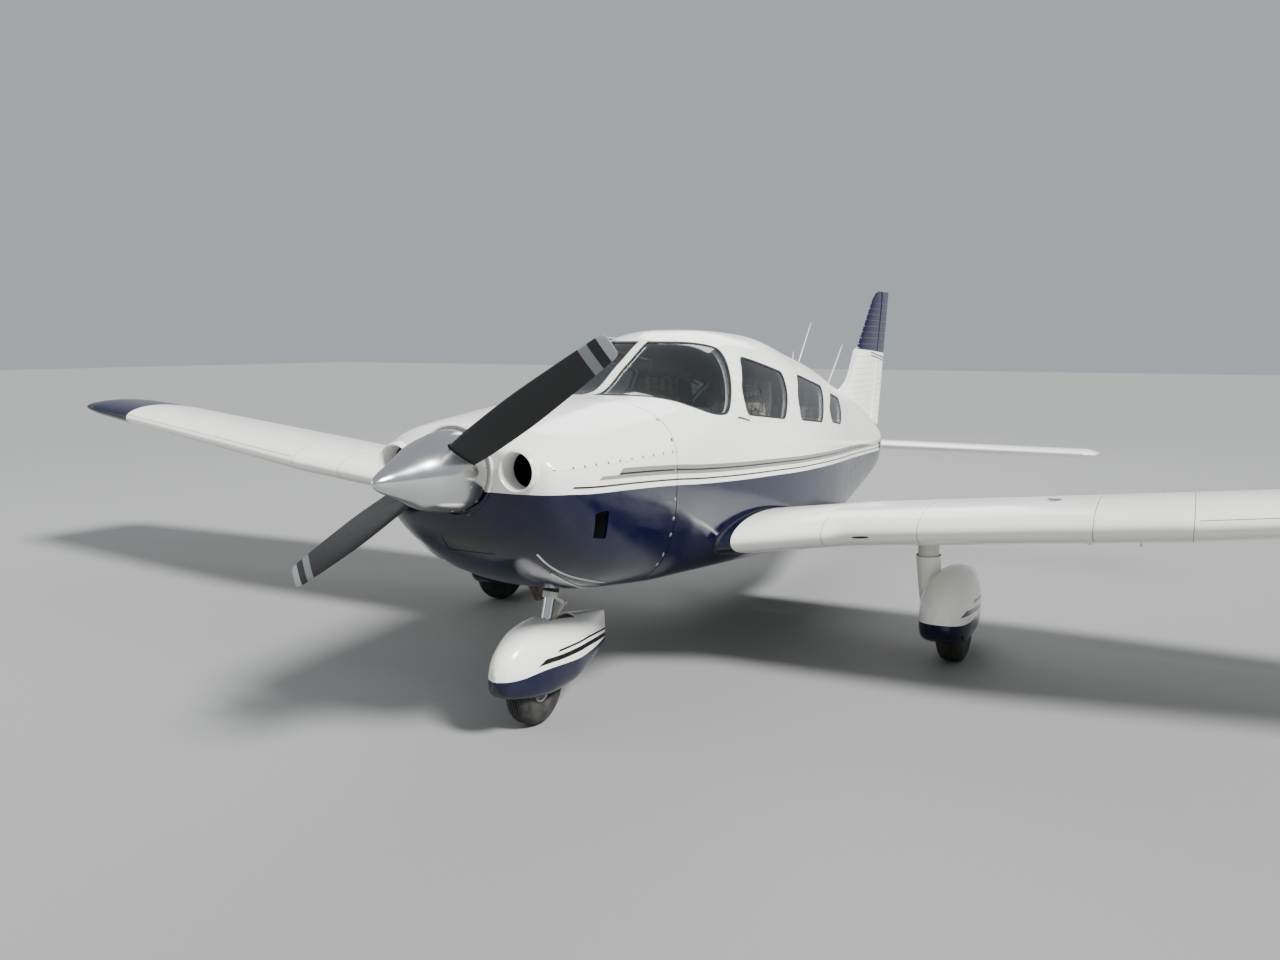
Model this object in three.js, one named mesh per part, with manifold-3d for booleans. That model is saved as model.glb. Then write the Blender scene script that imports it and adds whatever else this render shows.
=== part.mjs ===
// A four-seat, single-engine, low-wing light aircraft, parked on its three wheels.
// Millimetres. +X is towards the aircraft's left wing tip, the nose points to -Y, +Z is up,
// and the origin is on the ground, midway along the aircraft.
// A station is a distance aft of the spinner's tip, so y = station - LENGTH / 2.

import * as THREE from 'three';
import { mergeVertices } from 'three/addons/utils/BufferGeometryUtils.js';
import Module from 'manifold-3d';

const wasm = await Module();
wasm.setup();

// Overall sizes
const LENGTH = 7320;
const HALF_SPAN = 5410;
const FIT = 0.5; // gap between pieces that are fastened to each other
const SWING = 7; // gap round a control surface or a door
const FAR = 3000; // reach of a cutting block past everything it cuts

// Fuselage
const COWL_FRONT = 497;
const COWL_BACK = 1427;
const CABIN_FRONT = 1433;
const CABIN_BACK = 4700;
const CONE_BACK = 7020;
const CONE_HOLLOW_BACK = 6400;
const COWL_WALL = 12;
const CABIN_WALL = 35;
const CONE_WALL = 14;
const PANEL_SEAM = 1170; // height of the seam between the cabin's side and roof panels
const HULL_POINTS = 28;
const HULL_STEP = 420;
const MARK_MARGIN = 8; // table rows nearer than this to a piece's end are skipped

// Propeller and engine
const SHAFT_HEIGHT = 1265;
const PROP_STATION = 375;
const PROP_ANGLE = 32.8; // degrees above level, the raised blade towards the left wing
const SPINNER_BACK = 485;
const INLET = { x: 309, z: 1277, bore: 73, lip: 86, front: 480, back: 560 };

// Wing
const WING_BACK = 3820;
const WING_ROOT = 588;
const WING_RIB = 4936; // where the tip fairing begins
const LE_ROOT_HEIGHT = 764;
const LE_SLOPE = 0.102;
const WING_THICKNESS = 224;
const WING_CAMBER = 0.022;

// Tail
// The aircraft stands with its nose up, so the stabilator's chord slopes down aft, in degrees.
const STABILATOR = {
  front: 6556, chord: 762, half: 1967, z: 840, pivot: 6756, ratio: 0.11, slope: 3.9,
};
const TAB = { hinge: 7206, half: 1560, radius: 11 };
const FIN = { base: 980, top: 2259, kneeStation: 6060, kneeHeight: 1490, sweep: 1.022 };
const RUDDER = { lowStation: 6735, lowHeight: 1085, highStation: 7062, highHeight: 2300 };

// Landing gear
const MAIN_WHEEL = { x: 1555, station: 3014, radius: 222.5, width: 146, rim: 84, axle: 16 };
const NOSE_WHEEL = { x: 0, station: 1065, radius: 180.5, width: 125, rim: 70, axle: 14 };
const STRUT_X = 1395;
const NOSE_RAKE = 0.33; // how far the nose leg leans forward for each unit down

const PAINT = { white: 0xf2f1ea, navy: 0x10163a, silver: 0xb9bdc2, black: 0x17181a, dark: 0x2b2c2f };
const finish = (color, roughness, metalness = 0) => ({ color, roughness, metalness });
const WHITE_PAINT = finish(PAINT.white, 0.3);
const NAVY_PAINT = finish(PAINT.navy, 0.25);
const POLISHED = finish(0xd9dce0, 0.12, 1);
const STEEL = finish(PAINT.silver, 0.35, 0.9);
const RUBBER = finish(PAINT.black, 0.85);
const BLACK_PAINT = finish(PAINT.dark, 0.5);
const GLASS = finish(0x39424a, 0.05);
const LEATHER = finish(0xb9aa92, 0.65);

const aircraft = new THREE.Group();

const at = (x, station, z) => new THREE.Vector3(x, station - LENGTH / 2, z);
const mix = THREE.MathUtils.lerp;
const radians = THREE.MathUtils.degToRad;

// Closed meshes and solids

function solid(geometry) {
  const bare = new THREE.BufferGeometry();
  bare.setAttribute('position', geometry.getAttribute('position').clone());
  bare.setIndex(geometry.index ? geometry.index.clone() : null);
  const merged = mergeVertices(bare, 1e-3);
  const point = (i) => new THREE.Vector3().fromBufferAttribute(merged.getAttribute('position'), i);
  const corners = [];
  let volume = 0;
  for (let i = 0; i < merged.index.count; i += 3) {
    const [a, b, c] = [0, 1, 2].map((k) => merged.index.getX(i + k));
    if (a === b || b === c || c === a) continue;
    corners.push(a, b, c);
    volume += point(a).dot(point(b).cross(point(c)));
  }
  if (volume < 0) corners.reverse();
  const vertProperties = new Float32Array(merged.getAttribute('position').array);
  return new wasm.Manifold(
    new wasm.Mesh({ numProp: 3, vertProperties, triVerts: new Uint32Array(corners) }),
  );
}

function geometryOf(shape) {
  const { vertProperties, triVerts } = shape.getMesh();
  const geometry = new THREE.BufferGeometry();
  geometry.setAttribute('position', new THREE.Float32BufferAttribute(vertProperties, 3));
  geometry.setIndex(Array.from(triVerts));
  geometry.computeVertexNormals();
  return geometry;
}

const mirrored = (shape) => solid(geometryOf(shape).scale(-1, 1, 1));

function piece(name, shape, look) {
  const mesh = new THREE.Mesh(geometryOf(shape), new THREE.MeshStandardMaterial(look));
  mesh.name = name;
  aircraft.add(mesh);
}

// A left-hand piece and its mirror image on the right, both cut back from their neighbours.
function pair(name, shape, look, ...neighbours) {
  piece(`${name}_left`, cut(shape, ...neighbours), look);
  piece(`${name}_right`, cut(mirrored(shape), ...neighbours), look);
}

const join = (...shapes) => shapes.reduce((whole, shape) => whole.add(shape));
const cut = (whole, ...shapes) => shapes.reduce((rest, shape) => rest.subtract(shape), whole);

// A closed skin through rings of points that each have the same number of points.
function loft(rings) {
  const count = rings[0].length;
  const middle = (ring) => ring.reduce((sum, p) => sum.add(p), new THREE.Vector3()).divideScalar(count);
  const along = middle(rings.at(-1)).sub(middle(rings[0]));
  const [ax, ay, az] = [Math.abs(along.x), Math.abs(along.y), Math.abs(along.z)];
  const flat = (p) => {
    if (ax >= ay && ax >= az) return new THREE.Vector2(p.y, p.z);
    if (ay >= az) return new THREE.Vector2(p.x, p.z);
    return new THREE.Vector2(p.x, p.y);
  };
  const turn = rings[0].reduce(
    (sum, p, i) => sum.add(p.clone().cross(rings[0][(i + 1) % count])), new THREE.Vector3());
  const loops = turn.dot(along) < 0 ? rings.map((ring) => [...ring].reverse()) : rings;
  const index = [];
  for (let i = 0; i < loops.length - 1; i += 1) {
    for (let j = 0; j < count; j += 1) {
      const a = i * count + j;
      const b = i * count + ((j + 1) % count);
      index.push(a, b, b + count, a, b + count, a + count);
    }
  }
  for (const [ring, way] of [[0, -1], [loops.length - 1, 1]]) {
    const loop = loops[ring];
    for (const [a, b, c] of THREE.ShapeUtils.triangulateShape(loop.map(flat), [])) {
      const normal = loop[b].clone().sub(loop[a]).cross(loop[c].clone().sub(loop[a]));
      const face = normal.dot(along) * way > 0 ? [a, b, c] : [a, c, b];
      index.push(...face.map((k) => k + ring * count));
    }
  }
  const geometry = new THREE.BufferGeometry();
  const places = loops.flat().flatMap((p) => [p.x, p.y, p.z]);
  geometry.setAttribute('position', new THREE.Float32BufferAttribute(places, 3));
  geometry.setIndex(index);
  return solid(geometry);
}

// A block between two corners given as x, station and height.
function block([x0, s0, z0], [x1, s1, z1]) {
  const geometry = new THREE.BoxGeometry(x1 - x0, s1 - s0, z1 - z0);
  const middle = at((x0 + x1) / 2, (s0 + s1) / 2, (z0 + z1) / 2);
  return solid(geometry.translate(middle.x, middle.y, middle.z));
}

// A rod or cone from one point to another.
function rod(from, to, radius, endRadius = radius, sides = 14) {
  const way = to.clone().sub(from);
  const geometry = new THREE.CylinderGeometry(endRadius, radius, way.length(), sides);
  const turn = new THREE.Quaternion().setFromUnitVectors(
    new THREE.Vector3(0, 1, 0), way.clone().normalize());
  const middle = from.clone().lerp(to, 0.5);
  return solid(geometry.applyQuaternion(turn).translate(middle.x, middle.y, middle.z));
}

// A body turned about an axle that points along +X, from points of radius and offset.
function turned(points, centre, segments = 32) {
  const profile = points.map(([radius, offset]) => new THREE.Vector2(radius, offset));
  const geometry = new THREE.LatheGeometry(profile, segments);
  return solid(geometry.rotateZ(-Math.PI / 2).translate(centre.x, centre.y, centre.z));
}

// An outline of station and height, its corners rounded, pushed along X.
function sidePlate(outline, x0, x1, radius = 0) {
  const ring = roundedOutline(outline, radius);
  return loft([x0, x1].map((x) => ring.map(([station, z]) => at(x, station, z))));
}

function roundedOutline(outline, radius) {
  if (!radius) return outline;
  const shape = new THREE.Path();
  outline.forEach((corner, i) => {
    const p = new THREE.Vector2(...corner);
    const before = new THREE.Vector2(...outline.at(i - 1));
    const after = new THREE.Vector2(...outline[(i + 1) % outline.length]);
    const start = before.sub(p).setLength(Math.min(radius, before.length() / 2)).add(p);
    const end = after.sub(p).setLength(Math.min(radius, after.length() / 2)).add(p);
    if (i === 0) shape.moveTo(start.x, start.y);
    else shape.lineTo(start.x, start.y);
    shape.quadraticCurveTo(p.x, p.y, end.x, end.y);
  });
  return shape.getPoints(2).map((p) => [p.x, p.y]);
}

// The same outline moved outwards by a distance, or inwards by a negative one.
function grown(outline, distance) {
  const area = outline.reduce((sum, [a, b], i) => {
    const [c, d] = outline[(i + 1) % outline.length];
    return sum + a * d - b * c;
  }, 0);
  const side = Math.sign(area) * distance;
  const edges = outline.map(([a, b], i) => {
    const [c, d] = outline[(i + 1) % outline.length];
    const size = Math.hypot(c - a, d - b);
    const normal = [(d - b) / size, (a - c) / size];
    return { normal, reach: normal[0] * a + normal[1] * b + side };
  });
  return edges.map((edge, i) => {
    const last = edges.at(i - 1);
    const size = last.normal[0] * edge.normal[1] - last.normal[1] * edge.normal[0];
    return [
      (last.reach * edge.normal[1] - edge.reach * last.normal[1]) / size,
      (edge.reach * last.normal[0] - last.reach * edge.normal[0]) / size,
    ];
  });
}

// Fuselage sections. Each is a rounded box: full to half the width at the height named wide,
// and squarer the higher the upper and lower numbers are.
const HULL = [
  // station, top, wide, bottom, half, upper, lower
  [497, 1385, 1250, 1115, 330, 2.2, 2.1],
  [512, 1408, 1248, 1040, 395, 2.3, 2.2],
  [550, 1420, 1242, 960, 448, 2.3, 2.3],
  [640, 1452, 1228, 860, 487, 2.5, 2.4],
  [820, 1474, 1212, 745, 520, 2.5, 2.6],
  [1060, 1495, 1200, 660, 545, 2.6, 2.8],
  [1430, 1520, 1200, 606, 565, 2.8, 3.2],
  [1650, 1535, 1190, 585, 570, 3.0, 3.6],
  [1930, 1670, 1170, 559, 570, 3.0, 3.6],
  [2220, 1805, 1150, 531, 570, 3.0, 3.6],
  [2560, 1856, 1130, 499, 570, 3.1, 3.6],
  [3000, 1842, 1110, 457, 565, 3.0, 3.6],
  [3600, 1752, 1080, 402, 535, 2.8, 3.8],
  [4200, 1658, 1040, 393, 480, 2.6, 4.2],
  [5000, 1489, 990, 463, 370, 2.4, 4.4],
  [5800, 1345, 940, 545, 260, 2.3, 4.4],
  [6500, 1120, 880, 623, 165, 2.2, 4.0],
  [CONE_BACK, 975, 820, 684, 50, 2.0, 2.5],
];

// Smooth, never overshooting values between the rows of a table, by its first column.
function between(table, place, column) {
  const last = table.length - 1;
  const slope = (i) => (table[i + 1][column] - table[i][column]) / (table[i + 1][0] - table[i][0]);
  const tangent = (i) => {
    if (i === 0) return slope(0);
    if (i === last) return slope(last - 1);
    const [a, b] = [slope(i - 1), slope(i)];
    return a * b <= 0 ? 0 : (2 * a * b) / (a + b);
  };
  const found = table.findIndex((row) => row[0] > place);
  const i = found < 0 ? last - 1 : Math.max(found - 1, 0);
  const width = table[i + 1][0] - table[i][0];
  const t = (place - table[i][0]) / width;
  return (2 * t ** 3 - 3 * t ** 2 + 1) * table[i][column]
    + (t ** 3 - 2 * t ** 2 + t) * width * tangent(i)
    + (3 * t ** 2 - 2 * t ** 3) * table[i + 1][column]
    + (t ** 3 - t ** 2) * width * tangent(i + 1);
}

function superellipse({ x, station, top, wide, bottom, half, upper, lower, count }) {
  return Array.from({ length: count }, (_, i) => {
    const angle = (2 * Math.PI * i) / count;
    const [c, s] = [Math.cos(angle), Math.sin(angle)];
    const power = 2 / (s >= 0 ? upper : lower);
    const rise = (s >= 0 ? top - wide : bottom - wide) * Math.abs(s) ** power;
    return at(x + half * Math.sign(c) * Math.abs(c) ** power, station, wide + rise);
  });
}

function hullRing(station, inset) {
  const [top, wide, bottom, half, upper, lower] = [1, 2, 3, 4, 5, 6].map(
    (column) => between(HULL, station, column));
  return superellipse({
    x: 0, station, top: top - inset, wide, bottom: bottom + inset, half: half - inset,
    upper, lower, count: HULL_POINTS,
  });
}

// The fuselage between two stations, drawn in by an inset on every side.
function hull(from, to, inset = 0) {
  const marks = HULL.map((row) => row[0])
    .filter((s) => s > from + MARK_MARGIN && s < to - MARK_MARGIN);
  const ends = [from, ...marks, to];
  const stations = ends.flatMap((end, i) => {
    if (i === ends.length - 1) return [end];
    const steps = Math.ceil((ends[i + 1] - end) / HULL_STEP);
    return Array.from({ length: steps }, (_, k) => mix(end, ends[i + 1], k / steps));
  });
  return loft(stations.map((station) => hullRing(station, inset)));
}

// Cowling: upper and lower halves round two round cooling inlets and the shaft's opening
const hubLine = (station) => at(0, station, SHAFT_HEIGHT);
const inletPoint = (side, station) => at(side * INLET.x, station, INLET.z);
const cowlInside = hull(COWL_FRONT + 2 * COWL_WALL, COWL_BACK + 3, COWL_WALL);
const inletLips = [-1, 1].map((side) => rod(
  inletPoint(side, INLET.front), inletPoint(side, INLET.back), INLET.lip - 8, INLET.lip + 2, 20));
const inletBores = [-1, 1].map((side) => rod(
  inletPoint(side, INLET.front - 20), inletPoint(side, INLET.back + 20), INLET.bore, INLET.bore, 20));
const cowl = cut(
  join(cut(hull(COWL_FRONT, COWL_BACK), cowlInside), ...inletLips),
  ...inletBores,
  rod(hubLine(440), hubLine(600), 95),
  block([-120, 440, 905], [120, 700, 985]),
  block([-190, 1120, 400], [190, COWL_BACK + 20, 760]),
);
piece('cowl_upper', cut(cowl, block([-FAR, 0, 0], [FAR, FAR, INLET.z + FIT / 2])), WHITE_PAINT);
piece('cowl_lower', cut(cowl, block([-FAR, 0, INLET.z - FIT / 2], [FAR, FAR, FAR])), NAVY_PAINT);

piece('engine', block([-385, 700, 1100], [385, 1340, 1355]), BLACK_PAINT);

// Side windows, outlines of station and height, the same on both sides of the cabin
const SIDE_WINDOWS = {
  front: [[2446, 1715], [3007, 1614], [2999, 1473], [2915, 1336], [2304, 1398], [2284, 1532]],
  middle: [[3328, 1593], [3978, 1493], [3847, 1366], [3751, 1260], [3207, 1311], [3183, 1464]],
  rear: [[4207, 1436], [4560, 1383], [4496, 1292], [4378, 1200], [4039, 1239], [3999, 1337]],
};
const WINDOW_CORNER = 45;
// The windscreen's lower, rear and top edges, closed by two points clear ahead of the skin
const WINDSCREEN = [
  [1480, 1529], [1646, 1524], [1710, 1502], [1760, 1468], [1870, 1430], [1990, 1416],
  [2066, 1420], [2117, 1462], [2208, 1587], [2322, 1740], [2312, 1768], [2220, 1792],
  [1900, 1792], [1480, 1700],
];
const POST = 24; // half the width of the windscreen's centre post
const CABIN_DOOR = {
  outline: [[2170, 1000], [2190, 1400], [2372, 1755], [3140, 1655], [3055, 1330], [3030, 1000]],
  hingeX: -576, hingeStation: 2160, corner: 70, taper: 0.1,
};
const BAGGAGE_DOOR = {
  outline: [[3780, 740], [3780, 1150], [4300, 1150], [4300, 740]],
  hingeX: -512, hingeHeight: 1156, corner: 50, taper: 0.1,
};

// A door-shaped block through the right-hand wall, narrowing inwards so that the door's edges
// swing free of the frame.
function doorBlock({ outline, corner, taper }, growth, pinch) {
  const ring = roundedOutline(grown(outline, growth), corner);
  const skin = -520;
  const slice = (x) => ring.map(([station, z]) => {
    const [s, h] = pinch(station, z, 1 - (taper * (x - skin)) / 500);
    return at(x, s, h);
  });
  return loft([slice(-800), slice(-150)]);
}
const towardsFront = (station, z, scale) => [
  CABIN_DOOR.hingeStation + (station - CABIN_DOOR.hingeStation) * scale, z];
const towardsTop = (station, z, scale) => [
  station, BAGGAGE_DOOR.hingeHeight + (z - BAGGAGE_DOOR.hingeHeight) * scale];

const cabinSkin = hull(CABIN_FRONT, CABIN_BACK);
const cabinSpace = hull(CABIN_FRONT - 10, CABIN_BACK + 10, CABIN_WALL + FIT);
const cabinInside = hull(CABIN_FRONT - 10, CABIN_BACK + 10, CABIN_WALL);
const cabinWall = cut(cabinSkin, cabinInside);
const glazing = cut(
  hull(CABIN_FRONT, CABIN_BACK, 4),
  hull(CABIN_FRONT - 10, CABIN_BACK + 10, 10),
);
const windowBlocks = Object.values(SIDE_WINDOWS).flatMap((outline) => [
  sidePlate(outline, -700, -150, WINDOW_CORNER), sidePlate(outline, 150, 700, WINDOW_CORNER)]);
const windscreenBlocks = [sidePlate(WINDSCREEN, -700, -POST), sidePlate(WINDSCREEN, POST, 700)];
const cabin = cut(
  cabinWall,
  ...windowBlocks,
  ...windscreenBlocks,
  doorBlock(CABIN_DOOR, SWING, towardsFront),
  doorBlock(BAGGAGE_DOOR, SWING, towardsTop),
);
const aboveSeam = block([-FAR, 0, PANEL_SEAM - FIT / 2], [FAR, 2 * FAR, FAR]);
const belowSeam = block([-FAR, 0, 0], [FAR, 2 * FAR, PANEL_SEAM + FIT / 2]);
piece('cabin_lower', cut(cabin, aboveSeam), NAVY_PAINT);
piece('cabin_upper', cut(cabin, belowSeam), WHITE_PAINT);

for (const [name, side] of [['left', 1], ['right', -1]]) {
  const pane = (outline, inner, radius = 0) => glazing.intersect(
    sidePlate(grown(outline, -FIT), side * inner, side * 690, radius));
  piece(`windscreen_${name}`, pane(WINDSCREEN, POST + FIT), GLASS);
  piece(`window_front_${name}`, pane(SIDE_WINDOWS.front, 160, WINDOW_CORNER), GLASS);
  piece(`window_middle_${name}`, pane(SIDE_WINDOWS.middle, 160, WINDOW_CORNER), GLASS);
  piece(`window_rear_${name}`, pane(SIDE_WINDOWS.rear, 160, WINDOW_CORNER), GLASS);
}

const frontWindow = sidePlate(SIDE_WINDOWS.front, -700, -150, WINDOW_CORNER);
const doorHandle = block([-600, 2890, 1232], [-555, 2990, 1252]);
piece('cabin_door', join(
  cut(cabinWall.intersect(doorBlock(CABIN_DOOR, 0, towardsFront)), frontWindow),
  doorHandle,
), WHITE_PAINT);
piece('baggage_door', cabinWall.intersect(doorBlock(BAGGAGE_DOOR, 0, towardsTop)), NAVY_PAINT);

// Cabin inside
const slice = (from, to) => block([-FAR, from, 0], [FAR, to, FAR]);
piece('firewall', cabinSpace.intersect(slice(CABIN_FRONT + 1, CABIN_FRONT + 13)), STEEL);
piece('floor', cabinSpace.intersect(block([-FAR, 1455, 735], [FAR, 4640, 750])), BLACK_PAINT);
piece('rear_bulkhead', cabinSpace.intersect(slice(4650, 4662)), LEATHER);
const GLARESHIELD = 1458;
piece('instrument_panel', cabinSpace.intersect(join(
  block([-FAR, 1905, 1030], [FAR, 1925, GLARESHIELD]),
  block([-FAR, 1660, GLARESHIELD - 18], [FAR, 1960, GLARESHIELD]),
)), BLACK_PAINT);

function yoke(x) {
  const centre = at(x, 2070, 1262);
  const offset = (dx, dz) => centre.clone().add(new THREE.Vector3(dx, 0, dz));
  return join(
    rod(at(x, 1925 + FIT, 1262), centre, 12, 12, 12),
    rod(offset(-125, 0), offset(125, 0), 13, 13, 12),
    rod(offset(-125, -6), offset(-132, 95), 13, 13, 12),
    rod(offset(125, -6), offset(132, 95), 13, 13, 12),
  );
}
pair('yoke', yoke(270), BLACK_PAINT);

const FRONT_SEAT = [
  [2360, 1010], [2360, 1120], [2790, 1085], [2890, 1440], [2900, 1590], [2960, 1590],
  [2990, 1440], [2900, 960], [2500, 960],
];
const REAR_SEAT = [
  [3400, 980], [3400, 1080], [3830, 1050], [3930, 1330], [3945, 1460], [4010, 1460],
  [4040, 1330], [3950, 940], [3450, 940],
];
const seatRail = (x) => block([x - 20, 2480, 750 + FIT], [x + 20, 2860, 1000]);
pair('front_seat', join(
  sidePlate(FRONT_SEAT, 40, 470, 40), seatRail(100), seatRail(410)).intersect(cabinSpace), LEATHER);
piece('rear_seat', cabinSpace.intersect(join(
  sidePlate(REAR_SEAT, -470, 470, 40),
  block([-400, 3520, 750 + FIT], [-360, 3880, 980]),
  block([360, 3520, 750 + FIT], [400, 3880, 980]),
)), LEATHER);

// Tail cone, hollow to just ahead of the stabilator's cross tube
const cabinClearance = hull(CABIN_FRONT, CABIN_BACK, -FIT);
const coneClearance = hull(CABIN_BACK + FIT, CONE_BACK, -FIT);
const onPivot = (x) => at(x, STABILATOR.pivot, STABILATOR.z);
const pivotHole = rod(onPivot(-400), onPivot(400), 38);
piece('tail_cone', cut(
  hull(CABIN_BACK + FIT, CONE_BACK),
  hull(CABIN_BACK - 10, CONE_HOLLOW_BACK, CONE_WALL),
  pivotHole,
), WHITE_PAINT);

// An aerofoil section as pairs of distance along and height above its chord, over the chord.
function aerofoil(ratio, camber = 0, steps = 12) {
  const half = (f) => 5 * ratio * (0.2969 * Math.sqrt(f) - 0.126 * f - 0.3516 * f ** 2
    + 0.2843 * f ** 3 - 0.1015 * f ** 4);
  const mean = (f) => 4 * camber * (f - f ** 2);
  const stop = (k) => (1 - Math.cos((Math.PI * k) / steps)) / 2;
  const upper = Array.from({ length: steps + 1 }, (_, k) => stop(steps - k));
  const lower = Array.from({ length: steps }, (_, k) => stop(k + 1));
  return [...upper.map((f) => [f, mean(f) + half(f)]), ...lower.map((f) => [f, mean(f) - half(f)])];
}

// Wing plan: straight inboard with a swept glove at the root, tapered outboard
const WING_PLAN = [
  // span, leading edge, trailing edge
  [440, 1926, WING_BACK],
  [WING_ROOT, 1992, WING_BACK],
  [1100, 2220, WING_BACK],
  [2700, 2220, WING_BACK],
  [HALF_SPAN, 2571, 3641],
];
const TWIST = { inner: 5.6, outer: 4.6, from: 2700 }; // degrees, nose up

function straight(table, place, column) {
  const found = table.findIndex((row) => row[0] >= place);
  const i = Math.max(found < 0 ? table.length - 1 : found, 1);
  const [low, high] = [table[i - 1], table[i]];
  return mix(low[column], high[column], (place - low[0]) / (high[0] - low[0]));
}

function wingSection(x, { front, back, thickness = 1, drop = 0 } = {}) {
  const nose = front ?? straight(WING_PLAN, x, 1);
  const tail = back ?? straight(WING_PLAN, x, 2);
  const chord = tail - nose;
  const basic = straight(WING_PLAN, Math.max(x, 1100), 2) - straight(WING_PLAN, Math.max(x, 1100), 1);
  const ratio = (WING_THICKNESS / 1600) * (basic / chord) * thickness;
  const outward = Math.max(0, (x - TWIST.from) / (HALF_SPAN - TWIST.from));
  const tilt = radians(mix(TWIST.inner, TWIST.outer, outward));
  const height = LE_ROOT_HEIGHT + LE_SLOPE * (x - WING_ROOT) - drop;
  return aerofoil(ratio, WING_CAMBER).map(([f, h]) => {
    const [a, b] = [f * chord, h * chord];
    return at(x, nose + a * Math.cos(tilt) + b * Math.sin(tilt),
      height - a * Math.sin(tilt) + b * Math.cos(tilt));
  });
}

const wingBlank = (drop = 0) => loft(
  [440, WING_ROOT, 1100, 2700, WING_RIB - FIT].map((x) => wingSection(x, { drop })));

// The middle of a section's thickness and half of it, at a station.
function thicknessAt(ring, station) {
  const y = station - LENGTH / 2;
  const heights = ring.flatMap((p, i) => {
    const q = ring[(i + 1) % ring.length];
    if ((p.y - y) * (q.y - y) > 0 || p.y === q.y) return [];
    return [mix(p.z, q.z, (y - p.y) / (q.y - p.y))];
  });
  const [low, high] = [Math.min(...heights), Math.max(...heights)];
  return { middle: (low + high) / 2, half: (high - low) / 2 };
}

// A block whose length lies along a hinge line, reaching forward and aft of it.
function hingeBlock(from, to, forward, aft, half = 300) {
  const along = to.clone().sub(from);
  const length = along.length();
  const x = along.normalize();
  const y = new THREE.Vector3(0, 1, 0).addScaledVector(x, -x.y).normalize();
  const z = new THREE.Vector3().crossVectors(x, y);
  const geometry = new THREE.BoxGeometry(length, forward + aft, 2 * half);
  geometry.translate(length / 2, (aft - forward) / 2, 0);
  return solid(geometry.applyMatrix4(new THREE.Matrix4().makeBasis(x, y, z).setPosition(from)));
}

const WING_SURFACES = {
  // span and hinge station at the inner and outer ends
  flap: { inner: [640, 3560], outer: [2664, 3560] },
  aileron: { inner: [2720, 3560], outer: [4900, 3462] },
};

function hingeLine({ inner, outer }) {
  const [from, to] = [inner, outer].map(([x, station]) => {
    const { middle, half } = thicknessAt(wingSection(x), station);
    return { point: at(x, station, middle), radius: half - 1.5 };
  });
  return { from, to };
}

// A control surface with a round nose on its hinge line, and the bay it sits in.
function surfaceAndBay(blank, { from, to }) {
  const along = to.point.clone().sub(from.point).normalize();
  const start = from.point.clone().addScaledVector(along, SWING);
  const end = to.point.clone().addScaledVector(along, -SWING);
  const surface = join(
    blank.intersect(hingeBlock(start, end, 0, 700)),
    rod(start, end, from.radius, to.radius),
  );
  const bay = hingeBlock(from.point, to.point, Math.max(from.radius, to.radius) + SWING, 700);
  return { surface, bay };
}

const wholeWing = wingBlank();

// A flat pad under each wing, for a jack or a tie-down ring
const TIE_DOWN = { x: 2240, station: 2700, half: 35, drop: 14 };
const overPad = thicknessAt(wingSection(TIE_DOWN.x), TIE_DOWN.station);
const tieDownPad = block(
  [TIE_DOWN.x - TIE_DOWN.half, TIE_DOWN.station - TIE_DOWN.half,
    overPad.middle - overPad.half - TIE_DOWN.drop],
  [TIE_DOWN.x + TIE_DOWN.half, TIE_DOWN.station + TIE_DOWN.half, overPad.middle],
);
const flap = surfaceAndBay(wholeWing, hingeLine(WING_SURFACES.flap));
const aileron = surfaceAndBay(wholeWing, hingeLine(WING_SURFACES.aileron));
pair('wing', join(cut(wholeWing, flap.bay, aileron.bay), tieDownPad), WHITE_PAINT, cabinClearance);
pair('flap', flap.surface, WHITE_PAINT);
pair('aileron', aileron.surface, WHITE_PAINT);

const WING_TIP = [
  // span, leading edge, trailing edge, share of the full thickness
  [WING_RIB, 2510, 3672, 1],
  [5180, 2543, 3655, 0.96],
  [5320, 2572, 3636, 0.74],
  [5390, 2612, 3606, 0.42],
  [HALF_SPAN, 2670, 3560, 0.14],
];
pair('wing_tip', loft(WING_TIP.map(
  ([x, front, back, thickness]) => wingSection(x, { front, back, thickness }))), NAVY_PAINT);

// Fin with its dorsal fillet, and the rudder
const finFront = (z) => FIN.kneeStation + (z - FIN.kneeHeight) * FIN.sweep;
const finBack = (z) => mix(7046, LENGTH, (z - FIN.base) / (FIN.top - FIN.base));
const FIN_LEVELS = [
  // height, share of thickness to chord, set-back of the leading edge
  [FIN.base, 0.065, 0],
  [2190, 0.08, 0],
  [2240, 0.07, 22],
  [FIN.top, 0.03, 90],
];
const finBlank = loft(FIN_LEVELS.map(([z, ratio, setBack]) => {
  const front = finFront(z) + setBack;
  const chord = finBack(z) - front;
  return aerofoil(ratio).map(([f, h]) => at(h * chord, front + f * chord, z));
}));
const DORSAL = [
  [5600, 1330], [5764, 1374], [5848, 1392], [5934, 1419], [6019, 1459], [6075, 1510],
  [6130, 1574], [6184, 1647], [6240, 1720], [6360, 1760], [6360, 1000], [5600, 1000],
];
const dorsal = sidePlate(DORSAL, -16, 16);
const rudderLine = {
  from: { point: at(0, RUDDER.lowStation, RUDDER.lowHeight), radius: 34 },
  to: { point: at(0, RUDDER.highStation, RUDDER.highHeight), radius: 13 },
};
const rudderAlong = rudderLine.to.point.clone().sub(rudderLine.from.point).normalize();
const rudderBay = hingeBlock(
  rudderLine.from.point.clone().addScaledVector(rudderAlong, -400),
  rudderLine.to.point.clone().addScaledVector(rudderAlong, 200), 41, 900, 200);
const rudderBand = hingeBlock(
  rudderLine.from.point, rudderLine.to.point.clone().addScaledVector(rudderAlong, 200), 0, 700, 200);
const belowFinTop = block([-FAR, 5000, 0], [FAR, 8000, FIN.top - 4]);
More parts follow.
